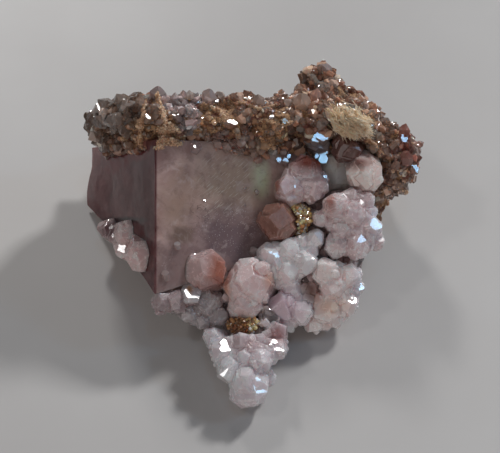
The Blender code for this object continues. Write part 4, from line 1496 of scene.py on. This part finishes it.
# ---------------------------------------------------------------- sealed in the fluorite
# Sheets in the fluorite, by where the camera sees them: u, v, depth, half width and height, and turns.
VEILS = (
    (-7.9, 42.3, 0.8, 1.1, 0.35, -0.9, 0.9),
    (-7.3, 41.2, 1.2, 0.9, 0.3, 0.6, 1.1),
    (-8.8, 39.0, 1.6, 1.6, 1.1, 0.4, 0.5),
    (-9.6, 36.4, 1.6, 0.7, 1.3, 0.5, 0.5),
    (-12.2, 40.6, 2.0, 2.2, 1.4, 0.3, 0.4),
    (-14.0, 38.0, 1.0, 1.4, 1.9, 0.0, 0.3),
    (-13.6, 34.6, 0.8, 1.8, 0.8, 0.2, 0.7),
    (-4.6, 32.4, 1.0, 2.6, 0.6, 0.3, 1.0),
    (-1.0, 34.6, 1.2, 2.4, 0.5, -0.5, 1.0),
    (-2.6, 38.2, 2.2, 2.4, 1.6, 0.5, 0.4),
    (-6.4, 34.4, 1.8, 1.8, 1.5, 0.1, 0.4),
    (1.2, 41.8, 1.4, 1.3, 1.9, 0.0, 0.3),
    (-11.0, 44.2, 1.6, 2.4, 1.1, -0.1, 0.4),
)
VEIL_SIDES = 18
VEIL_TINT = (0.74, 0.66, 0.66, 1.0)
NEEDLES = 90
NEEDLE_CLOUD = ((-4.6, 2.6), (41.2, 1.9), (0.2, 1.2))  # middle and spread of u and of v, and depths
SPECKS = 600
SPECK_CLOUD = ((-2.4, 2.7), (32.6, 1.9), (0.15, 0.6))


def sheet(half_width, half_height, dice):
    """A thin closed sheet about the origin, ragged and slightly rolling."""
    points = [(0.0, 0.0, 0.03), (0.0, 0.0, -0.03)]
    edge = dice.uniform(0.65, 1.1, VEIL_SIDES)
    for ring, thickness in ((0.5, 0.03), (1.0, 0.0)):
        for face in (1, -1) if thickness else (1,):
            for side in range(VEIL_SIDES):
                turn = math.tau * side / VEIL_SIDES
                reach = ring * edge[side]
                x, y = math.cos(turn) * half_width * reach, math.sin(turn) * half_height * reach
                roll = 0.25 * math.sin(1.7 * x + edge[0] * 9) * math.cos(1.3 * y)
                points.append((x, y, roll * ring + thickness * face))
    top, low, rim = 2, 2 + VEIL_SIDES, 2 + 2 * VEIL_SIDES
    faces = []
    for side in range(VEIL_SIDES):
        after = (side + 1) % VEIL_SIDES
        faces += [(0, top + side, top + after), (1, low + after, low + side)]
        faces += [(top + side, rim + side, rim + after), (top + side, rim + after, top + after)]
        faces += [(low + side, rim + after, rim + side), (low + side, low + after, rim + after)]
    return np.array(points), np.array(faces)


def inside_face(u, v, depth):
    """The place that the camera sees at (u, v), at a depth under the fluorite's front side."""
    aim = way_from_eye(u, v)
    reach = (ACROSS.x * CUBE_EDGE_U - depth - ACROSS.dot(EYE)) / ACROSS.dot(aim)
    return EYE + aim * reach


def inclusion_places(count, cloud, dice):
    """Places about a middle of u and v, spread by each, at depths under the fluorite's front side."""
    across, up, depths = cloud
    return [inside_face(dice.normal(*across), dice.normal(*up), dice.uniform(*depths)) for _ in range(count)]


def make_inclusions():
    dice = np.random.default_rng(71)
    face_turn = Matrix.Rotation(CUBE_TURN, 3, "Y")
    shapes = []
    for u, v, depth, half_width, half_height, turn, tip in VEILS:
        points, faces = sheet(half_width, half_height, dice)
        pose = face_turn @ Matrix.Rotation(turn, 3, "Z") @ Matrix.Rotation(tip, 3, "X")
        points = points @ np.array(pose).T + np.array(inside_face(u, v, depth + half_height * math.sin(tip)))
        shapes.append((points, faces))
    finish = tinted_finish("veils", (0.90, 0.86, 0.86), 0.5, 0.5, (0.1, 0.3), 0.02)
    starts = np.cumsum([0] + [len(points) for points, _ in shapes])
    points = np.concatenate([points for points, _ in shapes])
    faces = np.concatenate([faces + start for (_, faces), start in zip(shapes, starts)])
    made = mesh_from_arrays("veils", points * MM, faces)
    tint_layer(made, np.repeat([VEIL_TINT], len(points), axis=0))
    add_piece("fluorite_veils", made, finish, "fluorite")
    needles = inclusion_places(NEEDLES, NEEDLE_CLOUD, dice)
    leans = [np.array(face_turn @ sideways(lean, 1.0, 0.2)) for lean in dice.normal(-0.8, 0.6, NEEDLES)]
    widths = dice.uniform(0.02, 0.045, NEEDLES)
    tints = palette_tints("needles", NEEDLES, dice)
    made = scatter("needles", small_fibres(12, 72, (30, 70)), needles, leans, widths, tints, 73, 0.1, 20.0)
    finish = tinted_finish("needles", (0.9, 0.85, 0.8), 0.2, 0.0, (0.2, 0.4), 0.02)
    add_piece("fluorite_needles", made, finish, "fluorite")
    places = inclusion_places(SPECKS, SPECK_CLOUD, dice)
    tints = palette_tints("specks", SPECKS, dice)
    sizes = dice.uniform(0.03, 0.11, SPECKS)
    ups = [np.array((0.0, 0.0, 1.0))] * SPECKS
    made = scatter("specks", small_grains(12, 74, 5), places, ups, sizes, tints, 75)
    add_piece("fluorite_specks", made, finish, "fluorite")


# ---------------------------------------------------------------- limonite lumps
def lump_depth(place):
    cobble = noise.voronoi(place / 1.3)[0][0]
    grit = noise.fractal(place / 0.5, 0.8, 2.1, 4)
    return max(0.2 + 0.8 * cobble + 0.25 * grit, LEAST_WEAR)


def patch_depth(place):
    """Deep grooves along the mat."""
    along, across = 0.8 * place.x - 0.6 * place.y, 0.6 * place.x + 0.8 * place.y
    groove = noise.noise(Vector((along / 3.5, across / 0.8, place.z / 1.5)))
    return max(0.5 + 1.4 * groove + 0.4 * noise.noise(place / 0.5), LEAST_WEAR)


def make_tuft(name, finish, grain, seed, split):
    """A golden tuft: a gritty core under spikes and grains, dark brown left of split."""
    core = worn_copy(name, LUMP_CELL, lump_depth)
    dice = np.random.default_rng(seed)
    places, normals = surface_samples(core, 2800, seed + 1)
    tints = np.clip(palette_tints("tuft", len(places), dice) * 1.35, 0.0, 0.95)
    brown = palette_tints("tuft_dark", len(places), dice)
    tints = np.where((places[:, 0] < split)[:, None], brown, tints)
    sizes = 0.07 + 0.24 * dice.random(len(places)) ** 2.5
    shapes = small_crystals(12, seed + 2, (0.8, 2.6)) + small_grains(12, seed + 3, 6)
    made = scatter(name + "_grains", shapes, places, normals, sizes, tints, seed + 4, 0.8, 0.0)
    add_piece(name + "_grains", made, grain, "limonite")
    set_sparkles(name + "_sparkles", (places, normals), 110, (0.08, 0.20), seed + 5, "tuft", "limonite")
    add_piece(name + "_core", core, finish, "limonite", name)


# The yellow mat's middle line over the crust, as u and v, and its half width.
MAT = ((14.2, 53.2), (16.4, 52.6), (19.0, 51.0), (21.2, 49.6))
MAT_HALF = 1.9
MAT_FIBRES = 1200


def lay_mat(surface, finish):
    """Fibres that lie tangled over the crust along the mat's middle line."""
    dice = np.random.default_rng(56)
    rows = []
    for _ in range(MAT_FIBRES):
        share = dice.random()
        u, v = path_point(MAT, share)
        across = dice.normal(0.0, 0.5) * MAT_HALF * (0.6 + 0.8 * math.sin(math.pi * share))
        place, _ = surface.hit(u + across * 0.45, v + across * 0.9)
        wander = noise.noise_vector(Vector((u, v, across)) / 1.6) * 1.3
        along = Vector((0.8, -0.55, 0.0)) + Vector(wander) + Vector(dice.normal(0.0, 0.25, 3))
        rows.append((np.array(place) + (0.0, 0.1, dice.uniform(0.1, 1.1)), np.array(along.normalized())))
    places, alongs = columns(rows)
    tints = palette_tints("yellow", len(rows), dice)
    widths = dice.uniform(0.05, 0.09, len(rows))
    made = scatter("mat", small_fibres(16, 57, (16, 40)), places, alongs, widths, tints, 58, 0.1, 14.0)
    add_piece("limonite_mat", made, finish, "yellow_limonite")


def make_patch(finish, surface):
    """The yellow patch: fibres in sheaves over a sandy core, and the mat on the crust beside it."""
    name = "limonite_patch"
    core = worn_copy(name, LUMP_CELL, patch_depth)
    dice = np.random.default_rng(51)
    places, normals = surface_samples(core, 1800, 52)
    sheaf = np.array([noise.noise_vector(Vector(place) / 2.2) for place in places])
    leaning = sheaf + np.array((0.9, -0.65, 0.0)) + dice.normal(0.0, 0.25, sheaf.shape)
    leaning /= np.linalg.norm(leaning, axis=1)[:, None]
    tints = palette_tints("yellow", len(places), dice)
    sizes = dice.uniform(0.05, 0.10, len(places))
    fibres = small_fibres(16, 53, (8, 18))
    made = scatter(name + "_fibres", fibres, places, leaning, sizes, tints, 54, 0.15, 5.0)
    fibre = tinted_finish("yellow_fibres", (1.0, 0.80, 0.56), 0.55, 0.0, (0.45, 0.7), 0.03)
    add_piece(name + "_fibres", made, fibre, "yellow_limonite")
    lay_mat(Surface(core, base=surface), fibre)
    add_piece(name + "_core", core, finish, "yellow_limonite", name)


def make_lumps(surface):
    grain = tinted_finish("golden_grains", (1.0, 0.62, 0.30), 0.3, 0.2, (0.08, 0.3))
    core = grit_finish("golden_core", (0.16, 0.07, 0.03), (0.80, 0.50, 0.24))
    make_tuft("limonite_tuft_upper", core, grain, 41, -99.0)
    make_tuft("limonite_tuft_lower", core, grain, 46, -0.6)
    sand = grit_finish("yellow_core", (0.44, 0.28, 0.14), (0.90, 0.66, 0.42))
    make_patch(sand, surface)


make_floor()
make_camera()
make_lights()
make_quartz()
make_inclusions()
make_lumps(make_crust(fluorite_mesh()))
